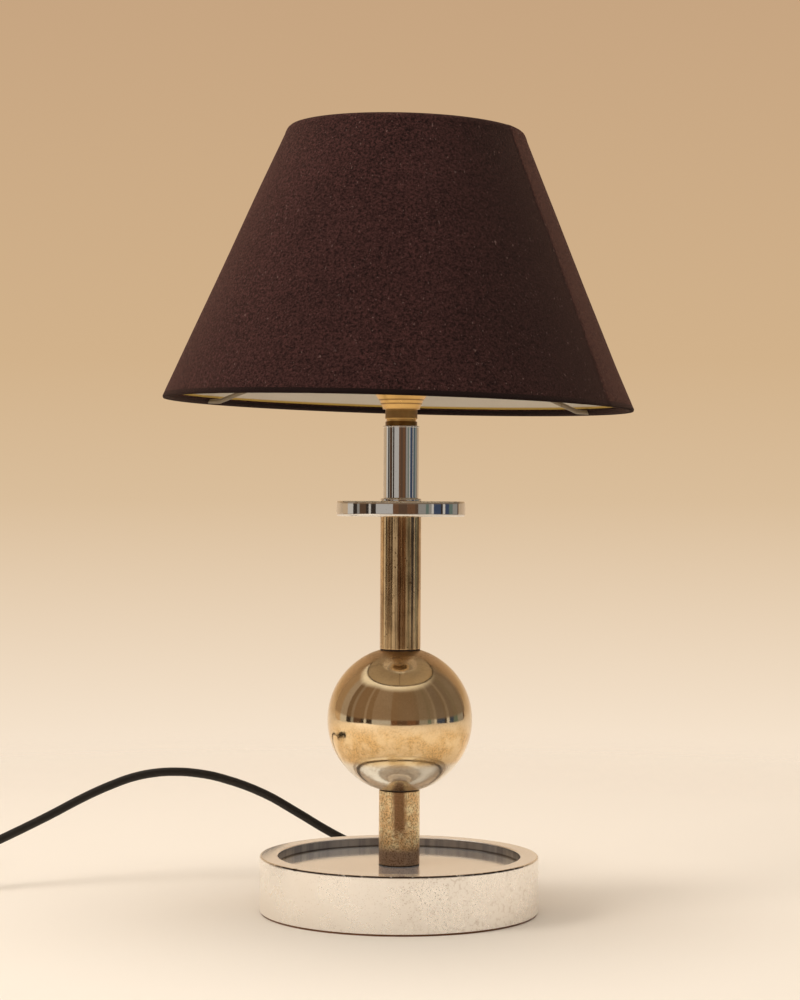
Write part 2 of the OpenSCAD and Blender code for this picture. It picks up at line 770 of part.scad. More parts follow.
module shade_frame() {
    arm_end = fitter_out_d / 2 - arm_d / 2;
    color("white") as_it_leans() union() {
        wire_ring(hem_r);
        for (i = [0 : arm_count - 1]) rotate(arm_angle(i)) {
            rod([hem_x(hem_r), 0, hem_r], [hem_x(hem_r) - arm_level, 0, hem_r], arm_d - fit_gap);
            rod([hem_x(hem_r) - arm_level + arm_d / 4, 0, hem_r], [arm_end, 0, fitter_rise], arm_d);
        }
        translate([0, 0, fitter_rise - fitter_t / 2]) difference() {
            cylinder(d = fitter_out_d, h = fitter_t);
            translate([0, 0, -over]) cylinder(d = fitter_in_d, h = fitter_t + 2 * over);
        }
    }
}

module lead_wires() {
    bend_z = cord_z + lead_bend;
    color("#7a2f25") for (side = [-1, 1]) {
        x = side * lead_pitch / 2;
        swept(concat([[x, grip_y - grip_l, cord_z], [x, 2 * lead_bend, cord_z]],
            [for (a = [0 : 22.5 : 90]) [x, lead_bend - lead_bend * sin(a), bend_z - lead_bend * cos(a)]],
            [[x, 0, rod_top - 2 * lead_bend], [x, 0, rod_top],
                [side * (terminal_x + lead_d / 2) / 2, 0, (rod_top + ledge_z) / 2 - lead_end],
                [side * terminal_x, 0, ledge_z - terminal_w - lead_end],
                [side * terminal_x, 0, ledge_z - terminal_w]]),
            lead_d, 8, [1, 0, 0]);
    }
}

module cord_inner() {
    color(black) rod([0, grip_y - grip_l, cord_z], [0, exit_y, cord_z], cord_d);
}

module cord_grip() {
    color(black) difference() {
        translate([-grip_w / 2, grip_y - grip_l / 2, plate_z]) cube([grip_w, grip_l, weight_z - plate_z]);
        translate([0, grip_y - grip_l, cord_z]) rotate([-90, 0, 0])
            cylinder(d = cord_d + 2 * fit_gap, h = 2 * grip_l);
    }
}

module cord_bush() {
    outside = base_d / 2 + fit_gap;
    inside = base_d / 2 - base_wall - run_gap;
    color(black) translate([0, 0, cord_z]) rotate([-90, 0, 0]) difference() {
        union() {
            translate([0, 0, inside - bush_head_t]) cylinder(d = bush_head_d - 2 * run_gap, h = bush_head_t);
            translate([0, 0, inside - bush_head_t])
                cylinder(d = bush_neck_d, h = outside - inside + 2 * bush_head_t);
            translate([0, 0, outside]) cylinder(d = bush_head_d, h = bush_head_t);
            translate([0, 0, outside + bush_head_t])
                cylinder(d1 = bush_root_d, d2 = bush_tip_d, h = exit_y - outside - bush_head_t);
        }
        translate([0, 0, grip_y]) cylinder(d = cord_d + 2 * fit_gap, h = exit_y);
    }
}

module cord_arch() {
    color(black) swept(arch_points, cord_d, 8, [0, 0, 1]);
}

module cord_coil() {
    color(black) swept(coil_points, cord_d, 6, [0, 0, 1]);
}

module cord_tie() {
    inner = coil_in_r - cord_d / 2 - run_gap;
    outer = coil_out_r + cord_d / 2 + run_gap;
    high = coil_layer + cord_d + 2 * run_gap;
    color(black) translate([coil_x, coil_y - tie_w / 2, 0]) difference() {
        translate([inner - tie_t, 0, 0]) cube([outer - inner + 2 * tie_t, tie_w, high + 2 * tie_t]);
        translate([inner, -over, tie_t]) cube([outer - inner, tie_w + 2 * over, high]);
    }
}

// The switch's plan, drawn in by a wall
module switch_plan(wall) {
    r = switch_w / 2 - wall;
    reach = (switch_l - switch_w) / 2;
    union() {
        square([2 * reach, 2 * r], center = true);
        for (side = [-1, 1]) translate([side * reach, 0]) circle(r = r);
    }
}

// The cord's way through the switch's ends
module switch_bore() {
    translate([-switch_l, 0, switch_mid_z]) rotate([0, 90, 0])
        cylinder(d = cord_d + 2 * fit_gap, h = 2 * switch_l);
}

module at_switch() {
    translate([switch_x, switch_y, 0]) children();
}

module switch_base() {
    color(black) at_switch() difference() {
        union() {
            difference() {
                linear_extrude(switch_mid_z) switch_plan(0);
                translate([0, 0, switch_wall]) linear_extrude(switch_h) switch_plan(switch_wall);
            }
            for (side = [-1, 1]) translate([side * switch_screw_x, 0, screw_sink])
                cylinder(d = 2 * switch_screw_d, h = switch_mid_z - cord_d / 2 - 2 * run_gap - screw_sink);
        }
        switch_bore();
        for (side = [-1, 1]) translate([side * switch_screw_x, 0, -over])
            cylinder(d = switch_screw_d + 2 * fit_gap, h = switch_h);
    }
}

module switch_cover() {
    opening_l = rocker_l + 2 * run_gap;
    opening_w = rocker_w + 2 * run_gap;
    post_z = switch_mid_z + cord_d / 2 + 2 * run_gap;
    pin_z = switch_h - rocker_pin_depth;
    color(black) at_switch() difference() {
        union() {
            difference() {
                translate([0, 0, switch_mid_z]) linear_extrude(switch_h - switch_mid_z) switch_plan(0);
                linear_extrude(switch_h - switch_wall) switch_plan(switch_wall);
            }
            for (side = [-1, 1]) {
                translate([side * switch_screw_x, 0, post_z])
                    cylinder(d = 2 * switch_screw_d, h = switch_h - switch_wall / 2 - post_z);
                translate([-rocker_pin_d, side * (opening_w + lug_t) / 2 - lug_t / 2, pin_z - rocker_pin_d])
                    cube([2 * rocker_pin_d, lug_t, rocker_pin_depth + rocker_pin_d - switch_wall / 2]);
            }
        }
        translate([-opening_l / 2, -opening_w / 2, 0]) cube([opening_l, opening_w, 2 * switch_h]);
        translate([0, 0, pin_z]) rotate([90, 0, 0])
            cylinder(d = rocker_pin_d + 2 * fit_gap, h = opening_w + 2 * lug_t, center = true);
        switch_bore();
        for (side = [-1, 1]) translate([side * switch_screw_x, 0, 0])
            cylinder(d = switch_screw_d + 2 * fit_gap, h = switch_h - switch_wall / 2);
    }
}

module switch_rocker() {
    pin_z = switch_h - rocker_pin_depth;
    r = rocker_l / 2;
    color("#2a2826") at_switch() translate([0, 0, pin_z]) rotate([0, -rocker_swing / 2, 0]) difference() {
        intersection() {
            rotate([90, 0, 0]) cylinder(r = r, h = rocker_w, center = true);
            union() {
                for (side = [-1, 1]) rotate([0, side * rocker_swing / 2, 0])
                    translate([side < 0 ? -r : 0, -r, -rocker_pin_d])
                        cube([r, 2 * r, rocker_crown + rocker_pin_d]);
                translate([-rocker_pin_d, -r, -rocker_pin_d])
                    cube([2 * rocker_pin_d, 2 * r, 2 * rocker_pin_d]);
            }
        }
        rotate([90, 0, 0]) cylinder(d = rocker_pin_d + 2 * pin_gap, h = 2 * rocker_w, center = true);
    }
}

module rocker_pin() {
    color(steel) at_switch() translate([0, 0, switch_h - rocker_pin_depth]) rotate([90, 0, 0])
        cylinder(d = rocker_pin_d, h = rocker_w + 2 * run_gap + 1.5 * lug_t, center = true);
}

module switch_contacts() {
    color(brass) at_switch() for (side = [-1, 1])
        translate([side * contact_x - contact_block / 2, 0, switch_wall])
            cube([contact_block, contact_block, switch_mid_z - cord_d / 2 - switch_wall - run_gap]);
}

module switch_link() {
    color(brass) at_switch() translate([-contact_x, -contact_block - run_gap, switch_wall])
        cube([2 * contact_x, contact_block, link_t]);
}

module switch_screws() {
    color(steel) at_switch() for (side = [-1, 1])
        translate([side * switch_screw_x, 0, screw_sink])
            cylinder(d = switch_screw_d, h = switch_h - switch_wall - 2 * screw_sink);
}

module plug_body() {
    start = plug_start + plug_boot_l;
    color(black) translate([0, plug_y, plug_z]) difference() {
        union() {
            translate([plug_start, 0, 0]) rotate([0, 90, 0])
                cylinder(d1 = boot_d, d2 = plug_t - 2 * boot_inset, h = plug_boot_l + over);
            translate([start, 0, 0]) rotate([90, 0, 90]) linear_extrude(plug_l) union() {
                square([plug_w - plug_t, plug_t], center = true);
                for (side = [-1, 1]) translate([side * (plug_w - plug_t) / 2, 0]) circle(d = plug_t);
            }
        }
        for (side = [-1, 1])
            translate([start + plug_l - pin_hold, side * pin_pitch / 2, 0]) rotate([0, 90, 0])
                cylinder(d = pin_d + 2 * fit_gap, h = pin_hold + over);
    }
}

module plug_pins() {
    end = plug_start + plug_boot_l + plug_l;
    color(chrome) translate([end - pin_hold, plug_y, plug_z]) rotate([0, 90, 0]) for (side = [-1, 1])
        translate([0, side * pin_pitch / 2, 0]) {
            cylinder(d = pin_d, h = pin_hold + pin_l - pin_d / 2);
            translate([0, 0, pin_hold + pin_l - pin_d / 2]) sphere(d = pin_d);
        }
}

base_shell();
base_pad();
base_plate();
plate_screws();
base_weight();
rod_washer();
rod_nut();
stem_rod();
lower_tube();
ball();
ball_washers();
middle_tube();
centring_bushes();
stem_disc();
disc_collar();
upper_tube();
lock_ring();
holder_cap();
holder_skirt();
holder_core();
screw_shell();
centre_contact();
terminals();
seat_ring();
clamp_ring();
bulb_glass();
bulb_filament();
bulb_cap();
bulb_insulator();
bulb_contact();
shade_cover();
shade_lining();
shade_top_ring();
shade_frame();
lead_wires();
cord_inner();
cord_grip();
cord_bush();
cord_arch();
switch_base();
switch_cover();
switch_rocker();
rocker_pin();
switch_contacts();
switch_link();
switch_screws();
cord_coil();
cord_tie();
plug_body();
plug_pins();
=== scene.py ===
# %% [markdown]
# # A table lamp with a felt shade
#
# The lamp stands on a dished nickel base. Its stem is a pile of turned pieces on one hidden rod: a
# tarnished tube, a ball, another tube, a chrome disc and a slim chrome tube. The solids come from
# the CAD frame, which sets every size. Blender adds what a lathe, an upholsterer and age leave on
# them.

import math

import bmesh
import bpy
from mathutils import Matrix, Vector, noise


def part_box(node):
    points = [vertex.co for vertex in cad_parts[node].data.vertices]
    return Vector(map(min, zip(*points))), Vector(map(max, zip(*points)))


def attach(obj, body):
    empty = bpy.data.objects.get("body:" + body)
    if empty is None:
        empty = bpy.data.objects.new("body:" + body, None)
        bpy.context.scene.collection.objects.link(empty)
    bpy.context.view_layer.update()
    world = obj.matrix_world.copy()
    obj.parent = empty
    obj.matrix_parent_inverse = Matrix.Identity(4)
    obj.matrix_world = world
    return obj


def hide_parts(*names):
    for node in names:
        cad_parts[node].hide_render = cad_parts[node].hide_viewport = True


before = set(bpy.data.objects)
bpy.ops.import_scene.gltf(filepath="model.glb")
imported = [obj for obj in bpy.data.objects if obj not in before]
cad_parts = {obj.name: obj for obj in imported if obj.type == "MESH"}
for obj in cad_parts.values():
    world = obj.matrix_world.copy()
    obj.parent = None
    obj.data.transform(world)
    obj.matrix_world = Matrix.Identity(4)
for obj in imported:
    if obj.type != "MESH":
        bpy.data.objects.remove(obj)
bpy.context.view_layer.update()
MM = 0.001

# %% [markdown]
# ## The camera
#
# The photograph is 800 by 1000 pixels, taken level with a longish lens. Its scale at the stem and
# the ellipses of base and shade give the distance and the height of the lens. In a tall picture
# Blender lays the sensor's width along the height, so the focal length in pixels is divided by
# 1000.

# %% Set up the camera
PHOTO_HEIGHT_PX = 1000
FOCAL_PX = 2342
CAMERA_DISTANCE = 1.262
CAMERA_HEIGHT = 0.2215
CAMERA_SIDE = -0.0005
CAMERA_ROLL = math.radians(-0.3)

camera_data = bpy.data.cameras.new("camera")
camera_data.lens = FOCAL_PX / PHOTO_HEIGHT_PX * camera_data.sensor_width
camera = bpy.data.objects.new("camera", camera_data)
camera.location = (CAMERA_SIDE, -CAMERA_DISTANCE, CAMERA_HEIGHT)
camera.rotation_euler = (math.radians(90), CAMERA_ROLL, 0)
bpy.context.collection.objects.link(camera)
scene = bpy.context.scene
scene.camera = camera
scene.view_settings.view_transform = "Standard"
print("camera: %.1f mm lens" % camera_data.lens)

# %% [markdown]
# ## A way to write shaders
#
# A finish is a small sum: mottling times tarnish, minus rubbed edges. Wiring it node by node hides
# the sum, so one class wraps a socket and turns Python's operators into Math nodes. Its `node`
# method adds any other node.


# %% Wrap a socket
def tint(*rgb):
    """A colour of a picture, 0 to 255, as the linear colour that a shader takes."""
    shares = [c / 255 for c in rgb]
    return tuple(s / 12.92 if s < 0.04045 else ((s + 0.055) / 1.055) ** 2.4 for s in shares)


class Wire:
    """An output socket that can be added, multiplied and fed into other nodes."""

    def __init__(self, tree, socket):
        self.tree, self.socket = tree, socket

    def node(self, kind, inputs=(), output=0, **settings):
        """Adds a node, sets its inputs and wraps one of its outputs."""
        made = self.tree.nodes.new(kind)
        for name, value in settings.items():
            setattr(made, name, value)
        for name, value in dict(inputs).items():
            if isinstance(value, Wire):
                self.tree.links.new(value.socket, made.inputs[name])
            else:
                made.inputs[name].default_value = value
        return Wire(self.tree, made.outputs[output])

    def maths(self, operation, first, second=0.0):
        return self.node("ShaderNodeMath", {0: first, 1: second}, operation=operation)

    def __add__(self, other):
        return self.maths("ADD", self, other)

    def __sub__(self, other):
        return self.maths("SUBTRACT", self, other)

    def __rsub__(self, other):
        return self.maths("SUBTRACT", other, self)

    def __mul__(self, other):
        return self.maths("MULTIPLY", self, other)

    def __pow__(self, other):
        return self.maths("POWER", self, other)

    __radd__ = __add__
    __rmul__ = __mul__

    def above(self, low, high):
        """0 below low, 1 above high and smooth between."""
        inputs = {0: self, 1: low, 2: high}
        return self.node("ShaderNodeMapRange", inputs, interpolation_type="SMOOTHSTEP")

    def choose(self, where_0, where_1):
        """A colour that goes from where_0 to where_1 as this value goes from 0 to 1."""
        ends = [(*c, 1) if isinstance(c, tuple) else c for c in (where_0, where_1)]
        return self.node("ShaderNodeMix", {0: self, 6: ends[0], 7: ends[1]}, 2, data_type="RGBA")

    def ramp(self, stops, interpolation="LINEAR"):
        """A colour by this value, from stops of a place and a picture's colour."""
        made = self.node("ShaderNodeValToRGB", {0: self})
        band = made.socket.node.color_ramp
        while len(band.elements) < len(stops):
            band.elements.new(0.5)
        for element, (place, colour) in zip(band.elements, stops):
            element.position = place
            element.color = (*tint(*colour), 1)
        band.interpolation = interpolation
        return made

    def stretched(self, along_z):
        """These coordinates, with Z scaled."""
        return self.node("ShaderNodeMapping", {0: self, "Scale": (1, 1, along_z)})

    def noise(self, scale, detail=3, roughness=0.55):
        inputs = {"Vector": self, "Scale": scale, "Detail": detail, "Roughness": roughness}
        return self.node("ShaderNodeTexNoise", inputs)

    def cells(self, scale):
        return self.node("ShaderNodeTexVoronoi", {"Vector": self, "Scale": scale})

    def split(self, axis):
        return self.node("ShaderNodeSeparateXYZ", {0: self}, axis)


print("sockets can be added and multiplied")

# %% [markdown]
# A finish starts from one Principled shader and the Object coordinates to paint it by. Its masks
# follow the shape of the piece, so they read best in millimetres.


# %% Start a finish
class Finish:
    """A material with one Principled shader."""

    def __init__(self, name, **constants):
        self.material = bpy.data.materials.new(name)
        self.material.use_nodes = True
        self.tree = self.material.node_tree
        self.shader = self.tree.nodes["Principled BSDF"]
        coordinates = self.tree.nodes.new("ShaderNodeTexCoord")
        self.here = Wire(self.tree, coordinates.outputs["Object"])
        self.feed(**constants)

    def feed(self, **sockets):
        """Sets or links the shader's sockets; a name's underscores stand for spaces."""
        for name, value in sockets.items():
            socket = self.shader.inputs[name.replace("_", " ")]
            if isinstance(value, Wire):
                self.tree.links.new(value.socket, socket)
            else:
                socket.default_value = (*value, 1) if isinstance(value, tuple) else value

    def relief(self, height, depth):
        """Feeds a height, in units of depth millimetres, to Normal as bump."""
        inputs = {"Height": height, "Distance": depth * MM, "Strength": 1.0}
        self.feed(Normal=self.here.node("ShaderNodeBump", inputs))

    def millimetres(self):
        """X, Y and Z of a point, in millimetres."""
        return [self.here.split(axis) * (1 / MM) for axis in range(3)]


def mottled(name, scale, detail, dark, light, **constants):
    """A finish whose colour wanders between two colours of a picture, and its noise."""
    finish = Finish(name, **constants)
    mottling = finish.here.noise(scale, detail)
    finish.feed(Base_Color=mottling.choose(tint(*dark), tint(*light)))
    return finish, mottling


def paint(finish, *names):
    """Gives CAD nodes a finish."""
    for name in names:
        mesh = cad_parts[name].data
        mesh.materials.clear()
        mesh.materials.append(finish.material)


print("finishes can be mixed")

# %% [markdown]
# ## The room
#
# The lamp stands on a pale paper sweep that rises behind it. Its colour turns from cream to a warm
# tan with height, a painted falloff of light. A real sweep would hide the lamp from a camera that
# walks round it, so for camera rays the paper fades out half a metre from the lamp and the world
# shows the same painted rise of colour all round. Lights and mirrors still meet the paper.

# %% Build the paper sweep
SHARP_ANGLE = math.radians(38)
SWEEP_WIDTH = 3.6
SWEEP_FRONT, SWEEP_BACK = -1.25, 1.5
SWEEP_HEIGHT = 2.2
SWEEP_BEND, BEND_STEP = 0.6, 6
PAPER_SEEN, PAPER_GONE = 0.5, 1.0
# Painted falloff of light: the paper darkens from cream to tan as it rises.
PAPER_FALLOFF_TINTS = [
    (0, (242, 231, 216)),
    (0.13, (224, 203, 178)),
    (0.5, (204, 178, 144)),
    (0.85, (193, 165, 134)),
]


def new_piece(name, bm, finish):
    """A smooth-shaded object from a bmesh, at the origin."""
    mesh = bpy.data.meshes.new(name)
    bm.to_mesh(mesh)
    bm.free()
    mesh.shade_smooth()
    mesh.set_sharp_from_angle(angle=SHARP_ANGLE)
    mesh.materials.append(finish.material)
    piece = bpy.data.objects.new(name, mesh)
    bpy.context.collection.objects.link(piece)
    return piece


def strip(points, width):
    """A sheet that follows (y, z) points, as wide as width along X, as a bmesh."""
    bm = bmesh.new()
    verts = [bm.verts.new((-width / 2, y, z)) for y, z in points]
    edges = [bm.edges.new(pair) for pair in zip(verts, verts[1:])]
    made = bmesh.ops.extrude_edge_only(bm, edges=edges)["geom"]
    far_side = [v for v in made if isinstance(v, bmesh.types.BMVert)]
    bmesh.ops.translate(bm, vec=(width, 0, 0), verts=far_side)
    return bm


paper = Finish("paper sweep", Roughness=0.9)
paper_x, paper_y, paper_z = (paper.here.split(axis) for axis in range(3))
paper.feed(Base_Color=paper_z.ramp(PAPER_FALLOFF_TINTS))
from_lamp = (paper_x ** 2 + paper_y ** 2) ** 0.5
camera_ray = paper.here.node("ShaderNodeLightPath")
opaque = Wire(paper.tree, paper.shader.outputs[0])
clear = paper.here.node("ShaderNodeBsdfTransparent")
gone = camera_ray * from_lamp.above(PAPER_SEEN, PAPER_GONE)
shown = paper.here.node("ShaderNodeMixShader", {0: gone, 1: opaque, 2: clear})
paper.tree.links.new(shown.socket, paper.tree.nodes["Material Output"].inputs["Surface"])

bend_y, bend_z = SWEEP_BACK - SWEEP_BEND, SWEEP_BEND
sweep_line = [(SWEEP_FRONT, 0)]
for angle in map(math.radians, range(0, 91, BEND_STEP)):
    sweep_line.append((bend_y + SWEEP_BEND * math.sin(angle),
                       bend_z - SWEEP_BEND * math.cos(angle)))
sweep_line.append((SWEEP_BACK, SWEEP_HEIGHT))
sweep = new_piece("paper_sweep", strip(sweep_line, SWEEP_WIDTH), paper)
print("sweep: %d faces" % len(sweep.data.polygons))

# %% [markdown]
# Polished metal shows the whole room, so what it mirrors matters as much as the metal. In front of
# the lamp its reflections show a dim brown room with pale windows and doors, which a tube squeezes
# into upright stripes. The world paints those stripes by compass bearing, for glossy rays alone.
# They are clear near the horizon and sink into a plain dim wall above and below it, and a pale
# ceiling glows overhead. All other light from the world is plain and soft.
#
# Bearings run from 0 to 1 round the lamp, with the camera at 0.5 and the right at 0.75. Heights are
# the Z of a direction.

# %% Paint the room that the metal mirrors
PAPER, WINDOW, SHEER = (205, 178, 146), (208, 202, 194), (188, 184, 180)
GREY_WALL, DOOR, SHADOW = (150, 146, 140), (112, 80, 58), (58, 50, 44)
GLOOM, LEAVES, DUSK = (94, 72, 56), (106, 120, 112), (66, 76, 98)
ROOM_STRIPES = [
    (-180, PAPER), (-110, WINDOW), (-95, SHADOW), (-85, GREY_WALL), (-80, GLOOM),
    (-65, SHADOW), (-60, WINDOW), (-55, SHADOW), (-45, SHEER), (-15, DOOR),
    (-5, GLOOM), (10, DOOR), (25, GLOOM), (30, GREY_WALL), (45, LEAVES),
    (50, GREY_WALL), (55, WINDOW), (60, DUSK), (75, SHADOW), (80, WINDOW),
    (85, DUSK), (95, LEAVES), (105, GREY_WALL), (120, GLOOM), (125, PAPER),
]
FAR_LEFT, FAR_RIGHT = (0.22, 0.36), (0.55, 0.8)
STRIPES_END_BELOW, STRIPES_END_ABOVE = (-0.1, -0.05), (0.03, 0.08)
DIM_LEFT, DIM_RIGHT, DIM_TURN = tint(138, 113, 88), tint(126, 110, 94), (0.35, 0.7)
DIM_SHARE, DIM_LOSS_LEFT = 0.88, 0.25
CEILING, CEILING_FROM = tint(255, 248, 234), (0.73, 0.85)
CEILING_LOWER_LEFT, CEILING_LOSS_RIGHT = 0.08, 0.5
# Painted falloff of light: camera rays see the backdrop darken from pale to tan with height.
BACKDROP_FALLOFF = [
    (-0.11, (248, 230, 208)),
    (0, (218, 190, 155)),
    (0.06, (210, 178, 139)),
    (0.21, (199, 165, 129)),
]
BACKDROP_REACH = 0.5
SOFT_TINT = (1.0, 0.96, 0.91)
ROOM_LEVEL, SOFT_LEVEL = 1.0, 0.52

world = bpy.data.worlds.new("room")
world.use_nodes = True
tree = world.node_tree
direction = Wire(tree, tree.nodes.new("ShaderNodeTexCoord").outputs["Generated"])
to_front = 0 - direction.split(1)
bearing = direction.maths("ARCTAN2", direction.split(0), to_front) * (1 / math.tau) + 0.5
upward = direction.split(2)

stripes = bearing.ramp([(0.5 + a / 360, colour) for a, colour in ROOM_STRIPES], "CONSTANT")
far_left = 1 - bearing.above(*FAR_LEFT)
far_right = bearing.above(*FAR_RIGHT)
dim = bearing.above(*DIM_TURN).choose(DIM_LEFT, DIM_RIGHT)
off_stripes = upward.above(*STRIPES_END_ABOVE) + (1 - upward.above(*STRIPES_END_BELOW))
walls = (DIM_SHARE * off_stripes * (1 - DIM_LOSS_LEFT * far_left)).choose(stripes, dim)
overhead = (upward + CEILING_LOWER_LEFT * far_left).above(*CEILING_FROM)
mirrored = (overhead * (1 - CEILING_LOSS_RIGHT * far_right)).choose(walls, CEILING)

climbing = upward * (1 / BACKDROP_REACH) + 0.5
backdrop_falloff = climbing.ramp([(0.5 + z / BACKDROP_REACH, colour) for z, colour in BACKDROP_FALLOFF])
ray = tree.nodes.new("ShaderNodeLightPath")
glossy = Wire(tree, ray.outputs["Is Glossy Ray"])
seen = Wire(tree, ray.outputs["Is Camera Ray"])
colour = glossy.choose(seen.choose(SOFT_TINT, backdrop_falloff), mirrored)
level = SOFT_LEVEL + (ROOM_LEVEL - SOFT_LEVEL) * glossy + (1 - SOFT_LEVEL) * seen
tree.links.new(colour.socket, tree.nodes["Background"].inputs["Color"])
tree.links.new(level.socket, tree.nodes["Background"].inputs["Strength"])
scene.world = world
print("room: %d stripes" % len(ROOM_STRIPES))

# %% [markdown]
# Three soft boxes light the lamp: a wide one overhead, a smaller one at the left front and a faint
# one at the right. Mirrors don't show them: the painted room already holds windows and a ceiling.

# %% Hang the lights
BOX_COLOUR = (1, 0.97, 0.93)
BOX_TARGET = Vector((0, 0, 0.22))
SOFT_BOXES = {
    "box_over": ((-0.05, 0.0, 1.9), 1.5, 20),
    "box_left": ((-1.6, -0.8, 1.2), 0.8, 15),
    "box_right": ((1.5, 0.7, 1.0), 0.5, 0.8),
}

for name, (place, size, power) in SOFT_BOXES.items():
    light = bpy.data.lights.new(name, "AREA")
    light.size, light.energy, light.color = size, power, BOX_COLOUR
    box = bpy.data.objects.new(name, light)
    box.location = place
    box.rotation_euler = (BOX_TARGET - Vector(place)).to_track_quat("-Z", "Y").to_euler()
    box.visible_glossy = False
    bpy.context.collection.objects.link(box)
print("lights:", ", ".join(SOFT_BOXES))

# %% [markdown]
# ## The cord
#
# A round 5 mm mains cord leaves a tapered bush behind the base, arches stiffly to the left, passes
# through a switch and ends, outside the picture, in a tied coil with its plug. It is one curve, so
# its length can be measured. The points of the arch were chosen along the photograph's line; the
# coil is a formula: in along the lower layer and out along the upper.

# %% Route the cord
CORD_D = 5.0
CORD_EXIT = (0, 97, 8)
CORD_HOLD = 8
SWITCH_X, SWITCH_Y, SWITCH_Z, SWITCH_L = -326, 36, 9, 62
COIL_X, COIL_Y, COIL_Z = -344, 98, 3.6
COIL_TURNS, COIL_IN_R, COIL_PITCH = 6.25, 22, 5.6
COIL_STEP = 15
PLUG_REACH = 23

coil_out_r = COIL_IN_R + COIL_PITCH * COIL_TURNS / 2
switch_entry = SWITCH_X + SWITCH_L / 2
switch_leave = SWITCH_X - SWITCH_L / 2
arch = [
    CORD_EXIT, (0, 103, 8.3), (-3, 112, 9.5), (-9, 120, 12), (-18, 125, 14.2), (-29, 127, 18.4),
    (-42, 127, 25), (-61, 126, 36.4), (-80, 124, 47.3), (-104, 120, 56.6), (-118, 116, 60),
    (-132, 112, 61.4), (-144, 108, 61), (-156, 104, 58.8), (-168, 98, 54.8), (-180, 92, 49.8),
    (-203, 80, 38.4), (-227, 67, 27.4), (-247, 55, 18.8), (-263, 45.5, 13.3), (-276, 39, 10.2),
    (switch_entry + CORD_HOLD, SWITCH_Y, SWITCH_Z), (switch_entry - CORD_HOLD, SWITCH_Y, SWITCH_Z),
]
tail = [
    (switch_leave + CORD_HOLD, SWITCH_Y, SWITCH_Z), (switch_leave - 3, SWITCH_Y, SWITCH_Z),
    (-369, 38, 7.8), (-376, 43, 6.2), (-381, 51, 5), (-383, 61, 4.2),
    (COIL_X - coil_out_r, 74, COIL_Z), (COIL_X - coil_out_r, 86, COIL_Z),
]


def coil_point(degrees):
    """One point of the coil, after that much of its winding."""
    half = 180 * COIL_TURNS
    r = COIL_IN_R + COIL_PITCH * abs(degrees - half) / 360
    layer = min(max((degrees - half + 90) / 180, 0), 1)
    angle = math.radians(180 - degrees)
    x, y = COIL_X + r * math.cos(angle), COIL_Y + r * math.sin(angle)
    return x, y, COIL_Z + layer * COIL_PITCH


coil = [coil_point(degrees) for degrees in range(0, int(360 * COIL_TURNS) + 1, COIL_STEP)]
plug_y, plug_z = COIL_Y + coil_out_r, COIL_Z + COIL_PITCH
into_plug = [(COIL_X + PLUG_REACH - back, plug_y, plug_z) for back in (CORD_D / 2, 0)]
route = [Vector(point) * MM for point in arch + tail + coil + into_plug]

# %% Lay the cord
CORD_SIDES, CORD_CUTS = 4, 4

cord_black = Finish("cord jacket", Specular_IOR_Level=0.35)
grain = cord_black.here.noise(900, 4)
scuff = cord_black.here.noise(60, 3).above(0.5, 0.75)
cord_black.feed(Base_Color=scuff.choose((0.012, 0.009, 0.007), (0.026, 0.02, 0.015)),
                Roughness=0.42 + 0.2 * grain)
cord_black.relief(grain, 0.08)

cord_curve = bpy.data.curves.new("cord", "CURVE")
cord_curve.dimensions = "3D"
cord_curve.bevel_depth = CORD_D / 2 * MM
cord_curve.bevel_resolution = CORD_SIDES
cord_curve.resolution_u = CORD_CUTS
cord_curve.use_fill_caps = True
spline = cord_curve.splines.new("BEZIER")
spline.bezier_points.add(len(route) - 1)
for point, place in zip(spline.bezier_points, route):
    point.co = place
    point.handle_left_type = point.handle_right_type = "AUTO"
cord_curve.materials.append(cord_black.material)
cord = bpy.data.objects.new("cord", cord_curve)
bpy.context.collection.objects.link(cord)
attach(cord, "lamp")
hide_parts("cord_arch", "cord_coil")

# %% [markdown]
# ## Turned metal
#
# Every metal piece of the stem came off a lathe, so each is an outline spun once round the axis. A
# CAD mesh is cut into flat triangles, which a mirror finish would show as facets, so the polished
# pieces are spun again here with fine steps, from the CAD nodes' own boxes. Each rounded corner
# gets a loop on both sides, which keeps the long walls next to it flat in the reflections.

# %% Spin an outline
SPIN_STEPS = 192
ROUND_SEGMENTS = 4
GUARD_REACH = 1.6


def outline(bm, corners):
    """A closed outline in the XZ plane from (radius, height, rounding) corners, in millimetres."""
    points = [Vector((r, 0, z)) * MM for r, z, _ in corners]
    loop = []
    for i, (point, (_, _, rounding)) in enumerate(zip(points, corners)):
        if not rounding:
            loop.append((point, 0))
            continue
        before, after = points[i - 1], points[(i + 1) % len(points)]
        guard = GUARD_REACH * rounding * MM
        loop.append((point + (before - point).normalized() * guard, 0))
        loop.append((point, rounding * MM))
        loop.append((point + (after - point).normalized() * guard, 0))
    verts = [bm.verts.new(point) for point, _ in loop]
    for pair in zip(verts, verts[1:] + verts[:1]):
        bm.edges.new(pair)
    for vert, (_, rounding) in zip(verts, loop):
        if rounding:
            bmesh.ops.bevel(bm, geom=[vert], offset=rounding, offset_type="OFFSET",
                            segments=ROUND_SEGMENTS, profile=0.5, affect="VERTICES", material=-1)


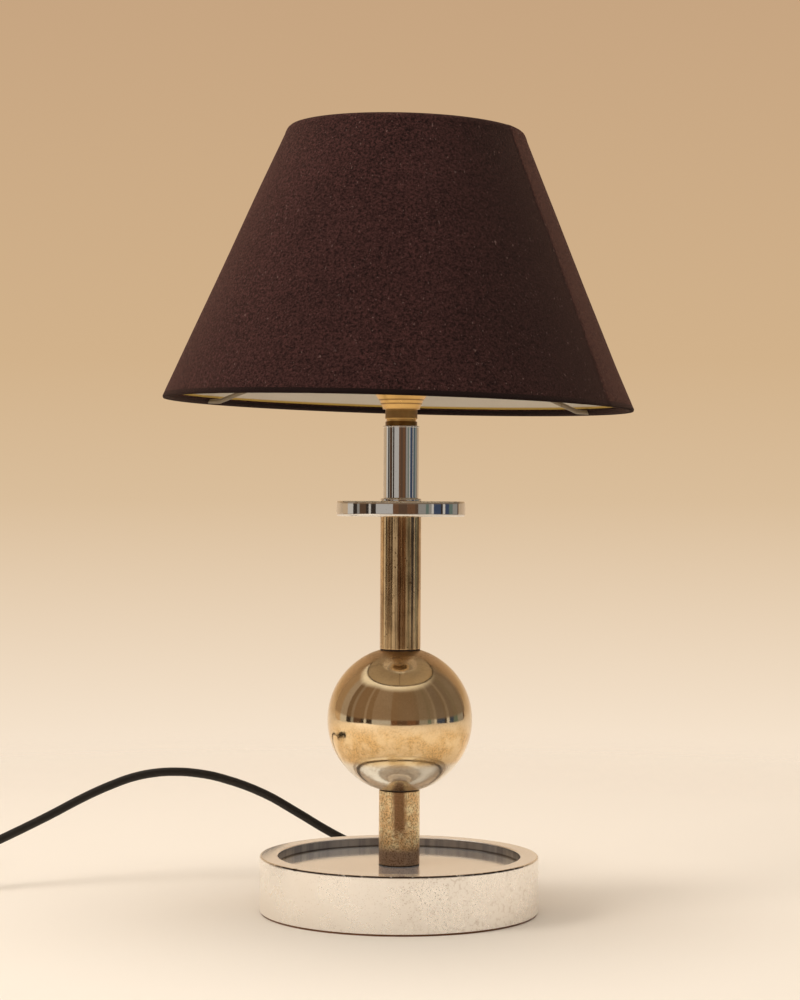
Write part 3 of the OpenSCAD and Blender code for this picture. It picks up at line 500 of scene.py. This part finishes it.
def spin_round(bm, steps=SPIN_STEPS):
    """Spins all that is in the bmesh once round Z into a closed skin that faces outwards."""
    bmesh.ops.spin(bm, geom=bm.verts[:] + bm.edges[:], cent=(0, 0, 0), axis=(0, 0, 1),
                   dvec=(0, 0, 0), angle=math.tau, steps=steps, use_merge=True,
                   use_duplicate=False)
    bmesh.ops.remove_doubles(bm, verts=bm.verts, dist=1e-7)
    bmesh.ops.recalc_face_normals(bm, faces=bm.faces)


def stands_for(piece, node, body):
    """Lets a piece take a CAD node's place on its body."""
    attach(piece, body)
    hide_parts(node)
    print("%s: %d faces" % (piece.name, len(piece.data.polygons)))


def reach_of(node):
    """Radius, foot and top of a round CAD node, in millimetres."""
    low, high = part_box(node)
    return (high[0] - low[0]) / 2 / MM, low[2] / MM, high[2] / MM


def turned(name, node, finish, corners):
    """Spins an outline into a piece that takes a CAD node's place on the lamp."""
    bm = bmesh.new()
    outline(bm, corners)
    spin_round(bm)
    stands_for(new_piece(name, bm, finish), node, "lamp")


print("lathe: %d steps a turn" % SPIN_STEPS)

# %% [markdown]
# ### Chrome and tarnished brass
#
# The disc and the slim tube are bright chrome. The two wider tubes have lost their plating. The
# middle one is brown brass with fine streaks along the length, which are noise stretched eighty
# times along Z. The lower one is freckled gold with a dark foot, and down its front runs a darker,
# smoother band. Its lowest edge is painted near black, a painted contact shadow on the dish.

# %% Mix the chrome and the streaked brass
chrome = Finish("bright chrome", Metallic=1.0)
haze = chrome.here.noise(35, 4)
clean = chrome.here.cells(700).above(0.0, 0.16)
chrome.feed(Base_Color=clean.choose(tint(120, 112, 104), tint(222, 218, 212)),
            Roughness=0.03 + 0.04 * haze)

tarnish = Finish("tarnished brass", Metallic=1.0)
streak = tarnish.here.stretched(0.012).noise(560, 5, 0.7)
speck = tarnish.here.noise(900, 2).above(0.62, 0.72)
tone = (0.75 * streak + 0.25 * tarnish.here.noise(55, 4)).above(0.38, 0.62)
brown = tone.choose(tint(112, 84, 55), tint(244, 210, 160))
tarnish.feed(Base_Color=speck.choose(brown, tint(90, 70, 48)),
             Roughness=0.08 + 0.14 * streak + 0.15 * speck)
tarnish.relief(streak, 0.02)
print("chrome and streaked brass mixed")

# %% Mix the freckled brass
FOOT_ENDS, CONTACT_SHADE_ENDS, BAND_STARTS = (9.5, 13.5), (0.3, 0.9), (14, 24)
BAND_SQUARED = 4, 22
BAND_SIDE = 1.2

freckled = Finish("freckled brass", Metallic=1.0)
across, along, tall = freckled.millimetres()
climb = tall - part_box("lower_tube")[0][2] / MM
ragged = climb + 5 * freckled.here.noise(260, 4)
dark_foot = 1 - ragged.above(*FOOT_ENDS)
# Painted contact shadow: the tube's lowest millimetre is painted near black where it meets the
# dish.
foot_contact_shade = 1 - climb.above(*CONTACT_SHADE_ENDS)
stray = across + 2.5 * freckled.here.stretched(0.15).noise(300, 3) - BAND_SIDE
in_front = (0 - along).above(0, 3)
kept = (1 - (stray * stray).above(*BAND_SQUARED)) * in_front * ragged.above(*BAND_STARTS)
freckle = freckled.here.noise(1100, 4, 0.75).above(0.46, 0.62) * (1 - 0.4 * kept)
rubbed = freckled.here.noise(190, 4, 0.65).above(0.38, 0.6)
gold = rubbed.choose(tint(255, 238, 194), tint(240, 204, 152))
banded = kept.choose(gold, tint(124, 94, 68))
speckled = (0.8 * freckle).choose(banded, tint(140, 104, 66))
stained = freckle.choose(tint(186, 160, 138), tint(130, 106, 90))
footed = dark_foot.choose(speckled, stained)
freckled.feed(Base_Color=foot_contact_shade.choose(footed, tint(46, 34, 28)),
              Roughness=0.3 - 0.18 * kept + 0.1 * freckle)
freckled.relief(1 - freckle, 0.03)
print("freckled brass mixed")

# %% Turn the tubes, the disc and the collar
TUBE_WALL, SLIM_WALL = 1.5, 1.2
LIP_H, LIP_OUT, LIP_ROUND = 0.8, 0.25, 0.2
ROD_HOLE_R = 5.2
EDGE = 0.3
DISC_ROUND, COLLAR_FOOT_ROUND, COLLAR_TOP_ROUND = 1.1, 0.2, 0.5

for node, finish in (("middle_tube", tarnish), ("lower_tube", freckled)):
    radius, foot, top = reach_of(node)
    inside = radius - TUBE_WALL
    turned(node + "_turned", node, finish,
           [(inside, foot, 0), (radius, foot, EDGE), (radius, top, EDGE), (inside, top, 0)])

for name, node, foot_round, top_round in (
    ("disc_turned", "stem_disc", DISC_ROUND, DISC_ROUND),
    ("collar_turned", "disc_collar", COLLAR_FOOT_ROUND, COLLAR_TOP_ROUND),
):
    radius, foot, top = reach_of(node)
    turned(name, node, chrome,
           [(ROD_HOLE_R, foot, 0), (radius, foot, foot_round), (radius, top, top_round),
            (ROD_HOLE_R, top, 0)])

lip_r, foot, top = reach_of("upper_tube")
radius = lip_r - LIP_OUT
inside = radius - SLIM_WALL
turned("slim_tube_turned", "upper_tube", chrome,
       [(inside, foot, 0), (radius, foot, EDGE), (radius, top - LIP_H, 0),
        (lip_r, top - LIP_H, LIP_ROUND), (lip_r, top, LIP_ROUND), (inside, top, 0)])

# %% [markdown]
# ### The ball
#
# The ball is warm nickel over brass, still a mirror, finely pitted on its lower half where hands
# and damp reached it, and dull close to the tubes, where it is also painted darker as a painted
# reflection of the tube ends. Its lowest cap is painted near white, a painted reflection of the
# dish. Its outline is an arc between the flats where the tubes meet it, made by spinning one point,
# and the arc is spun again round the stem.

# %% Mix the ball's nickel
ball_r, ball_foot, ball_top = reach_of("ball")
ball_z = (ball_foot + ball_top) / 2

ball_metal = Finish("ball nickel", Metallic=1.0)
latitude = (ball_metal.millimetres()[2] - ball_z) * (1 / ball_r)
dust = latitude.above(0.5, 0.95)
low_half = 1 - latitude.above(-0.2, 0.05)
# Painted reflection: the lowest cap is painted near white, as the dish in the mirror.
dish_reflection_cap = 1 - latitude.above(-0.62, -0.51)
# Painted shade: near the tubes the nickel is painted darker, as the tube ends' reflection.
shaded_poles = latitude.above(0.78, 0.93) + (1 - latitude.above(-0.9, -0.76))
fine = ball_metal.here.noise(1000, 4, 0.75).above(0.42, 0.64)
cloud = ball_metal.here.noise(110, 5, 0.65).above(0.38, 0.62)
pits = fine * (0.1 + 0.5 * low_half * cloud + 0.25 * dust)
bloom = ball_metal.here.noise(28, 5).above(0.35, 0.75)
upper_gold = bloom.choose(tint(240, 218, 182), tint(226, 200, 158))
lower_gold = cloud.choose(tint(240, 212, 166), tint(230, 192, 134))
all_gold = low_half.choose(upper_gold, dish_reflection_cap.choose(lower_gold, tint(244, 236, 220)))
dull_and_shaded = pits + 0.3 * dust + 0.25 * shaded_poles
ball_metal.feed(Base_Color=dull_and_shaded.choose(all_gold, tint(160, 132, 98)),
                Roughness=0.05 + 0.04 * bloom + 0.03 * dust + 0.15 * pits + 0.2 * shaded_poles)
ball_metal.relief(1 - pits, 0.012)
print("ball nickel mixed")

# %% Turn the ball
BALL_STEPS = 96

tube_r = reach_of("lower_tube")[0]
half_arc = math.acos(tube_r / ball_r)
bm = bmesh.new()
start = bm.verts.new(Vector((tube_r, 0, ball_z - ball_r * math.sin(half_arc))) * MM)
bmesh.ops.spin(bm, geom=[start], cent=Vector((0, 0, ball_z)) * MM, axis=(0, -1, 0),
               dvec=(0, 0, 0), angle=2 * half_arc, steps=BALL_STEPS, use_merge=False,
               use_duplicate=False)
ends = [v for v in bm.verts if len(v.link_edges) == 1]
bores = [bm.verts.new((ROD_HOLE_R * MM, 0, v.co.z)) for v in ends]
for pair in list(zip(ends, bores)) + [tuple(bores)]:
    bm.edges.new(pair)
spin_round(bm)
stands_for(new_piece("ball_turned", bm, ball_metal), "ball", "lamp")

# %% [markdown]
# ### The base
#
# The base is a heavy turned dish: a flat rim round a mirror floor. Its plate is pale nickel that
# has gone finely speckled on the outer wall, with dark chips along the front edge of the rim and
# one nick at the left. The dish's inner wall is painted a streaked grey, a painted reflection, and
# darker at its foot, painted shade. The masks go by the distance from the axis and the height from
# the rim.

# %% Mix the nickel
ON_WALL = 73.5, 74.6
DISH_SIDE_FROM, DISH_SIDE_TO, DISH_SIDE_TOP = (64.0, 65.0), (65.6, 66.0), (-0.9, -0.2)
DISH_FOOT_SHADE = -4.7, -4.1
RIM_EDGE, RIM_EDGE_TOP, CHIPPED_FRONT = (74.1, 74.7), (-1.2, -0.5), (28, 45)
NET_FROM = -5, 20
NICK_X, NICK_Y, NICK_ENDS = -53.5, -51.5, (0.8, 1.8)

nickel = Finish("pale nickel", Metallic=1.0)
x, y, z = nickel.millimetres()
from_axis = (x * x + y * y) ** 0.5
from_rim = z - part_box("base_shell")[1][2] / MM
on_wall = from_axis.above(*ON_WALL)
below_rim = 1 - from_rim.above(*DISH_SIDE_TOP)
in_dish = from_axis.above(*DISH_SIDE_FROM) * (1 - from_axis.above(*DISH_SIDE_TO)) * below_rim
from_nick = ((x - NICK_X) ** 2 + (y - NICK_Y) ** 2 + from_rim ** 2) ** 0.5
nick = 1 - from_nick.above(*NICK_ENDS)
rim_edge = from_axis.above(*RIM_EDGE) * from_rim.above(*RIM_EDGE_TOP)
chipped = nickel.here.noise(240, 4).above(0.32, 0.44)
chips = rim_edge * (0 - y).above(*CHIPPED_FRONT) * chipped

mottle = nickel.here.noise(60, 5)
cluster = nickel.here.noise(38, 3).above(0.42, 0.62)
round_dots = 1 - nickel.here.cells(1000).above(0.15, 0.4)
dots = round_dots * nickel.here.noise(500, 2).above(0.4, 0.52) * (0.2 + 0.8 * cluster)
mesh_lines = nickel.here.cells(520).above(0.6, 0.8)
net = mesh_lines * nickel.here.noise(60, 3).above(0.42, 0.6) * x.above(*NET_FROM)
age = on_wall * (0.38 * dots + 0.22 * net) + 0.15 * dots * (1 - on_wall)
plate = (0.35 * mottle * on_wall).choose(tint(255, 252, 248), tint(244, 234, 218))
aged = age.choose(plate, tint(170, 146, 122))
# Painted reflection and shade: the dish's inner wall is painted a streaked grey, darker at its
# foot.
streaks = nickel.here.stretched(0.05).noise(220, 3).above(0.35, 0.65)
streaked_reflection = streaks.choose(tint(148, 147, 150), tint(182, 179, 178))
dish_foot_shade = 1 - from_rim.above(*DISH_FOOT_SHADE)
shaded_dish_wall = (0.7 * dish_foot_shade).choose(streaked_reflection, tint(60, 56, 56))
unchipped = in_dish.choose(aged, shaded_dish_wall)
nickel.feed(Base_Color=(chips + 0.7 * nick).choose(unchipped, tint(58, 42, 36)),
            Metallic=1 - 0.28 * (1 - on_wall) * (1 - in_dish),
            Roughness=0.07 + 0.05 * mottle + 0.18 * on_wall + 0.2 * age + 0.2 * in_dish)
nickel.relief(1 - age - nick, 0.06)
print("nickel mixed")

# %% Turn the base
RIM_W, DISH_DEPTH, BASE_WALL = 9.8, 5.2, 2.5
FOOT_ROUND, RIM_ROUND, DISH_ROUND, FLOOR_ROUND = 0.4, 0.9, 0.7, 0.6

radius, foot, top = reach_of("base_shell")
dish_r, dish_z = radius - RIM_W, top - DISH_DEPTH
turned("base_turned", "base_shell", nickel,
       [(radius - BASE_WALL, foot, 0), (radius, foot, FOOT_ROUND), (radius, top, RIM_ROUND),
        (dish_r, top, DISH_ROUND), (dish_r, dish_z, FLOOR_ROUND), (ROD_HOLE_R, dish_z, 0),
        (ROD_HOLE_R, dish_z - BASE_WALL, 0), (dish_r + BASE_WALL, dish_z - BASE_WALL, 0),
        (dish_r + BASE_WALL, top - BASE_WALL, 0), (radius - BASE_WALL, top - BASE_WALL, 0)])

# %% [markdown]
# ## The felt shade
#
# The cover is thick wool felt, glued in a cone, rolled round a wire at both edges and lapped at one
# seam. The shade leans a little on its ring. It is drawn upright and tilted at the end, so a mask
# that follows its lower edge has to lean as well.

# %% Mix the felt
SHADE_BOTTOM_R, SHADE_TOP_R, SHADE_H = 127.0, 63.5, 147.6
SHADE_LEAN, SHADE_SLIP, FITTER_RISE = math.radians(1.4), -1.0, 30.6
HEM_SHADE_TOP, HEM_SHADE_FADE = 2.6, 0.4
SIDE_SHADE_FROM, SIDE_SHADE_TO = (-1.6, -0.5), (0.2, 1.2)

fitter_z = (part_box("seat_ring")[1][2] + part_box("clamp_ring")[0][2]) / 2
upright_to_leaning = (Matrix.Translation((SHADE_SLIP * MM, 0, fitter_z))
                      @ Matrix.Rotation(SHADE_LEAN, 4, "Y")
                      @ Matrix.Translation((0, 0, -FITTER_RISE * MM)))


def above_hem(finish):
    """How far a point is above the leaning shade's lower edge, in millimetres."""
    x, _, z = finish.millimetres()
    return z + math.sin(SHADE_LEAN) * x - (fitter_z / MM - FITTER_RISE)


felt = Finish("shade felt", Roughness=0.95, Specular_IOR_Level=0.15, Sheen_Weight=0.35,
              Sheen_Roughness=0.5, Sheen_Tint=tint(150, 110, 96))
fleece = felt.here.noise(760, 5, 0.85)
lint = felt.here.noise(420, 2).above(0.68, 0.76) * felt.here.noise(1900, 2).above(0.5, 0.6)
hair_space = felt.here.node("ShaderNodeMapping", {0: felt.here, "Scale": (3, 3, 1)})
hair = hair_space.noise(300, 1).above(0.73, 0.75)
facet_light = felt.here.node("ShaderNodeAttribute", output=2, attribute_name="facet_light")
tuft = (0.93 * fleece + 0.07 * felt.here.noise(25, 4)).above(0.38, 0.64)
flat_wool = tuft.choose(tint(4, 1, 2), tint(75, 45, 42))
# Painted highlight: on the pressed facet the wool is painted lighter.
lit_facet_wool = tuft.choose(tint(22, 10, 9), tint(86, 52, 43))
# Painted shade: round the right side, up to the facet, the wool is painted darker.
side = felt.here.maths("ARCTAN2", felt.here.split(1), felt.here.split(0))
side_shade_mask = side.above(*SIDE_SHADE_FROM) * (1 - side.above(*SIDE_SHADE_TO))
painted_side_shade = 0.8 * side_shade_mask * (1 - 0.8 * facet_light)
wool = painted_side_shade.choose(facet_light.choose(flat_wool, lit_facet_wool), tint(14, 6, 5))
linty = (0.4 * lint + 0.4 * hair).choose(wool, tint(140, 112, 104))
# Painted shade: the felt along the lower hem is painted near black.
hem_shade = 1 - above_hem(felt).above(HEM_SHADE_TOP, HEM_SHADE_TOP + HEM_SHADE_FADE)
felt.feed(Base_Color=hem_shade.choose(linty, tint(18, 10, 10)))
felt.relief(fleece + 0.3 * lint, 0.5)
print("felt mixed")

# %% [markdown]
# The cover is spun as a closed skin with both hems in its outline. Then the points of its outer
# face are moved: the lap stands proud along one line, and beside it the cone is pressed flatter, as
# the photograph shows. The inner face stays on the lining. A point attribute marks the pressed
# part, where the felt is painted lighter, a painted highlight where the facet catches the light.

# %% Spin the felt cover
HEM, HEM_PROUD, HEM_DEPTH, HEM_ROUND = 3.4, 0.05, 3.2, 1.55
HEM_STEP, HEM_STEP_ROUND, HEM_INNER_ROUND = 0.3, 0.3, 0.8
FELT_T, SKIN_GAP, INNER_GAP = 1.75, 1, 0.4
SHADE_STEPS, SHADE_CUTS, LONG_EDGE = 360, 40, 50


def cone_r(z):
    """Radius of the cone at a height, in millimetres."""
    return SHADE_BOTTOM_R + (SHADE_TOP_R - SHADE_BOTTOM_R) * z / SHADE_H


upper_hem = SHADE_H - HEM
bm = bmesh.new()
outline(bm, [
    (cone_r(HEM + SKIN_GAP), HEM + SKIN_GAP, 0),
    (cone_r(HEM) + HEM_PROUD, HEM - HEM_STEP, HEM_STEP_ROUND),
    (cone_r(0) + HEM_PROUD, 0, HEM_ROUND),
    (cone_r(0) - HEM_DEPTH, 0, HEM_ROUND),
    (cone_r(HEM) - HEM_DEPTH, HEM, HEM_INNER_ROUND),
    (cone_r(HEM) - FELT_T, HEM + INNER_GAP, 0),
    (cone_r(upper_hem) - FELT_T, upper_hem - INNER_GAP, 0),
    (cone_r(upper_hem) - HEM_DEPTH, upper_hem, HEM_INNER_ROUND),
    (cone_r(SHADE_H) - HEM_DEPTH, SHADE_H, HEM_ROUND),
    (cone_r(SHADE_H) + HEM_PROUD, SHADE_H, HEM_ROUND),
    (cone_r(upper_hem) + HEM_PROUD, upper_hem + HEM_STEP, HEM_STEP_ROUND),
    (cone_r(upper_hem - SKIN_GAP), upper_hem - SKIN_GAP, 0),
])
long_edges = [e for e in bm.edges if e.calc_length() > LONG_EDGE * MM]
bmesh.ops.subdivide_edges(bm, edges=long_edges, cuts=SHADE_CUTS)
spin_round(bm, SHADE_STEPS)
print("felt skin: %d faces" % len(bm.faces))

# %% Lap the seam and press the facet
SEAM_LOW, SEAM_HIGH = math.radians(-31), math.radians(-32.5)
LAP_T, LAP_W = 0.5, math.radians(9)
FACET_SPAN, FACET_FLAT, FACET_FADE = math.radians(32), 0.22, 25.0
FACET_LIGHT_FALL = 3
WAVE, WAVE_LENGTH = 0.25, 45.0


def is_outer(vert):
    """Whether a point of the upright cover is on its outer face."""
    return math.hypot(vert.co.x, vert.co.y) / MM > cone_r(vert.co.z / MM) - FELT_T / 2


# The pressed facet is marked on the mesh for its painted highlight.
facet_light_layer = bm.verts.layers.float.new("facet_light")
for vert in filter(is_outer, bm.verts):
    seam = SEAM_LOW + (SEAM_HIGH - SEAM_LOW) * vert.co.z / (SHADE_H * MM)
    past_seam = (math.atan2(vert.co.y, vert.co.x) - seam) % math.tau
    grow = 1.0
    if past_seam < FACET_SPAN:
        vert[facet_light_layer] = min(1, FACET_LIGHT_FALL * (1 - past_seam / FACET_SPAN))
        chord = math.cos(FACET_SPAN / 2) / math.cos(past_seam - FACET_SPAN / 2)
        from_hem = min(vert.co.z, SHADE_H * MM - vert.co.z) / (FACET_FADE * MM)
        grow += FACET_FLAT * (chord - 1) * min(max(from_hem, 0), 1)
    lap = max(0.0, 1 - past_seam / LAP_W) * LAP_T * MM
    wave = WAVE * MM * noise.noise(vert.co / (WAVE_LENGTH * MM))
    vert.co.xy *= grow + (lap + wave) / math.hypot(vert.co.x, vert.co.y)
bmesh.ops.transform(bm, matrix=upright_to_leaning, verts=bm.verts)
cover = new_piece("felt_cover", bm, felt)
stands_for(cover, "shade_cover", "shade")

# %% [markdown]

# %% [markdown]
# ## The lampholder
#
# Between the chrome tube and the shade sits a brass lampholder: a browned lock ring, a bright bead,
# a dull neck and a flare with two turned ridges. The pieces above it are hidden by the shade from
# the front, but show from below.

# %% Mix the holder's brass
NECK_DULL_FROM, NECK_DULL_TO, RING_TOP = (0.5, 0.9), (4.2, 6.2), (-1.2, -0.8)
FLARE_GROOVES = (8.3, 10.4)
GROOVE_HALF, GROOVE_FADE = 0.2, 0.5

holder_brass = Finish("holder brass", Metallic=1.0)
up_cap = holder_brass.millimetres()[2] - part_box("holder_cap")[0][2] / MM
grooves = sum(up_cap.above(z - GROOVE_FADE, z - GROOVE_HALF)
              * (1 - up_cap.above(z + GROOVE_HALF, z + GROOVE_FADE)) for z in FLARE_GROOVES)
on_ring = 1 - up_cap.above(*RING_TOP)
on_neck = (1 - up_cap.above(*NECK_DULL_TO)) * up_cap.above(*NECK_DULL_FROM)
dulled = on_neck + 0.9 * grooves
stain = holder_brass.here.noise(160, 4)
cap_brass = (dulled * (0.55 + 0.5 * stain)).choose(tint(212, 172, 108), tint(116, 87, 55))
holder_brass.feed(Base_Color=on_ring.choose(cap_brass, tint(118, 86, 44)),
                  Roughness=0.2 + 0.18 * stain + 0.15 * dulled)
holder_brass.relief(stain, 0.06)
paint(holder_brass, "holder_skirt", "screw_shell", "centre_contact", "terminals", "seat_ring",
      "clamp_ring", "bulb_contact", "centring_bushes", "switch_contacts", "switch_link")
print("holder brass mixed")

# %% Turn the lock ring and the cap
LOCK_H, LOCK_SHOULDER_R, LOCK_FOOT_ROUND, LOCK_TOP_ROUND = 2.4, 7.95, 0.2, 0.25
NECK_R, NECK_H, NECK_ROUND = 8.65, 5.5, 0.3
FLARE_R, FLARE_H, FLARE_CURVE, FLARE_STEPS = 9.95, 14.5, 1.5, 10
FLARE_RIDGES, RIDGE_OUT = (2, 4), 0.3
CAP_WALL, CAP_ROUND = 1.2, 0.2

radius, foot, top = reach_of("lock_ring")
turned("lock_ring_turned", "lock_ring", holder_brass,
       [(ROD_HOLE_R, foot, 0), (radius, foot, LOCK_FOOT_ROUND),
        (radius, foot + LOCK_H, LOCK_TOP_ROUND), (LOCK_SHOULDER_R, foot + LOCK_H, 0),
        (LOCK_SHOULDER_R, top, 0), (ROD_HOLE_R, top, 0)])

radius, foot, top = reach_of("holder_cap")
neck_z = foot + NECK_H
flare = []
for step in range(FLARE_STEPS + 1):
    share = step / FLARE_STEPS
    ridge = RIDGE_OUT if step in FLARE_RIDGES else 0
    flare.append((FLARE_R + (radius - FLARE_R) * share ** FLARE_CURVE + ridge,
                  neck_z + FLARE_H * share, 0))
turned("holder_cap_turned", "holder_cap", holder_brass,
       [(ROD_HOLE_R, foot, 0), (NECK_R, foot, NECK_ROUND), (NECK_R, neck_z, 0)] + flare
       + [(radius, top, CAP_ROUND), (radius - CAP_WALL, top, 0),
          (radius - CAP_WALL, neck_z + FLARE_H, 0), (ROD_HOLE_R, neck_z + CAP_WALL, 0)])

# %% [markdown]
# ## Lining, frame, bulb and the hidden pieces
#
# The lining is cream card, a little greyed, with a line of glue at its lower edge. The frame is
# white lacquered wire with chips, painted a dim brown grey as painted shade, and the bulb is opal
# glass. Hidden pieces get their own plain finishes, because the lamp may be taken apart.

# %% Finish what the shade holds
GLUE_TOP = 4.4, 5.2

lining = Finish("lining card", Roughness=0.85)
fibre = lining.here.noise(700, 3)
greyed = 0.3 * fibre + 0.7 * lining.here.noise(14, 3)
board = greyed.choose(tint(200, 193, 180), tint(220, 214, 203))
glue_line = 1 - above_hem(lining).above(*GLUE_TOP)
lining.feed(Base_Color=glue_line.choose(board, tint(190, 158, 76)))
lining.relief(fibre, 0.05)
paint(lining, "shade_lining")

# Painted shade: the white lacquer is painted a dim brown grey, with darker chips.
shaded_lacquer = Finish("white lacquer", Roughness=0.35)
chip = shaded_lacquer.here.noise(320, 4).above(0.66, 0.7)
shaded_lacquer.feed(Base_Color=chip.choose(tint(124, 110, 88), tint(100, 84, 64)))
paint(shaded_lacquer, "shade_frame", "shade_top_ring")

opal, _ = mottled("opal glass", 40, 2, (240, 234, 222), (248, 244, 236), Roughness=0.12,
                  Coat_Weight=0.4, Coat_Roughness=0.04, Subsurface_Weight=0.2,
                  Subsurface_Scale=0.01)
paint(opal, "bulb_glass")

glaze, crackle = mottled("porcelain", 220, 4, (222, 214, 198), (240, 234, 222),
                         Coat_Weight=0.5, Coat_Roughness=0.08)
glaze.feed(Roughness=0.22 + 0.1 * crackle)
paint(glaze, "holder_core", "bulb_insulator")
print("lining, frame, bulb and porcelain finished")

# %% Finish the hidden metal, felt and fibre
steel = Finish("plain steel", Metallic=1.0)
brushed = steel.here.stretched(0.1).noise(600, 4)
steel.feed(Base_Color=brushed.choose(tint(150, 150, 152), tint(190, 190, 190)),
           Roughness=0.28 + 0.2 * brushed)
paint(steel, "base_plate", "plate_screws", "rod_washer", "rod_nut", "stem_rod", "bulb_filament",
      "bulb_cap", "rocker_pin", "switch_screws")
paint(chrome, "plug_pins")

iron, sand = mottled("cast iron", 350, 5, (46, 44, 42), (74, 70, 66), Metallic=0.4)
iron.feed(Roughness=0.6 + 0.25 * sand)
iron.relief(sand, 0.4)
paint(iron, "base_weight")

pad, pile = mottled("foot felt", 800, 4, (86, 52, 30), (128, 82, 48), Roughness=0.95,
                    Sheen_Weight=0.3)
pad.relief(pile, 0.4)
paint(pad, "base_pad")

fibre_board, _ = mottled("dark fibre", 500, 3, (40, 28, 18), (62, 44, 28), Roughness=0.7)
paint(fibre_board, "ball_washers")
print("hidden pieces finished")

# %% Finish the wires, the switch and the plug
insulation, _ = mottled("red insulation", 300, 3, (120, 44, 34), (146, 60, 46), Roughness=0.45)
paint(insulation, "lead_wires")
paint(cord_black, "cord_inner", "cord_bush")

moulded = Finish("moulded black", Specular_IOR_Level=0.4)
spark = moulded.here.noise(1400, 3)
handled = moulded.here.noise(45, 4).above(0.5, 0.8)
moulded.feed(Base_Color=handled.choose(tint(28, 26, 25), tint(44, 41, 38)),
             Roughness=0.38 + 0.25 * spark)
moulded.relief(spark, 0.1)
paint(moulded, "switch_base", "switch_cover", "plug_body", "cord_tie", "cord_grip")

rocker_black, touch = mottled("rocker black", 120, 4, (24, 23, 22), (40, 37, 35),
                              Coat_Weight=0.3, Coat_Roughness=0.1)
rocker_black.feed(Roughness=0.2 + 0.2 * touch)
paint(rocker_black, "switch_rocker")
print("finishes:", len(bpy.data.materials))
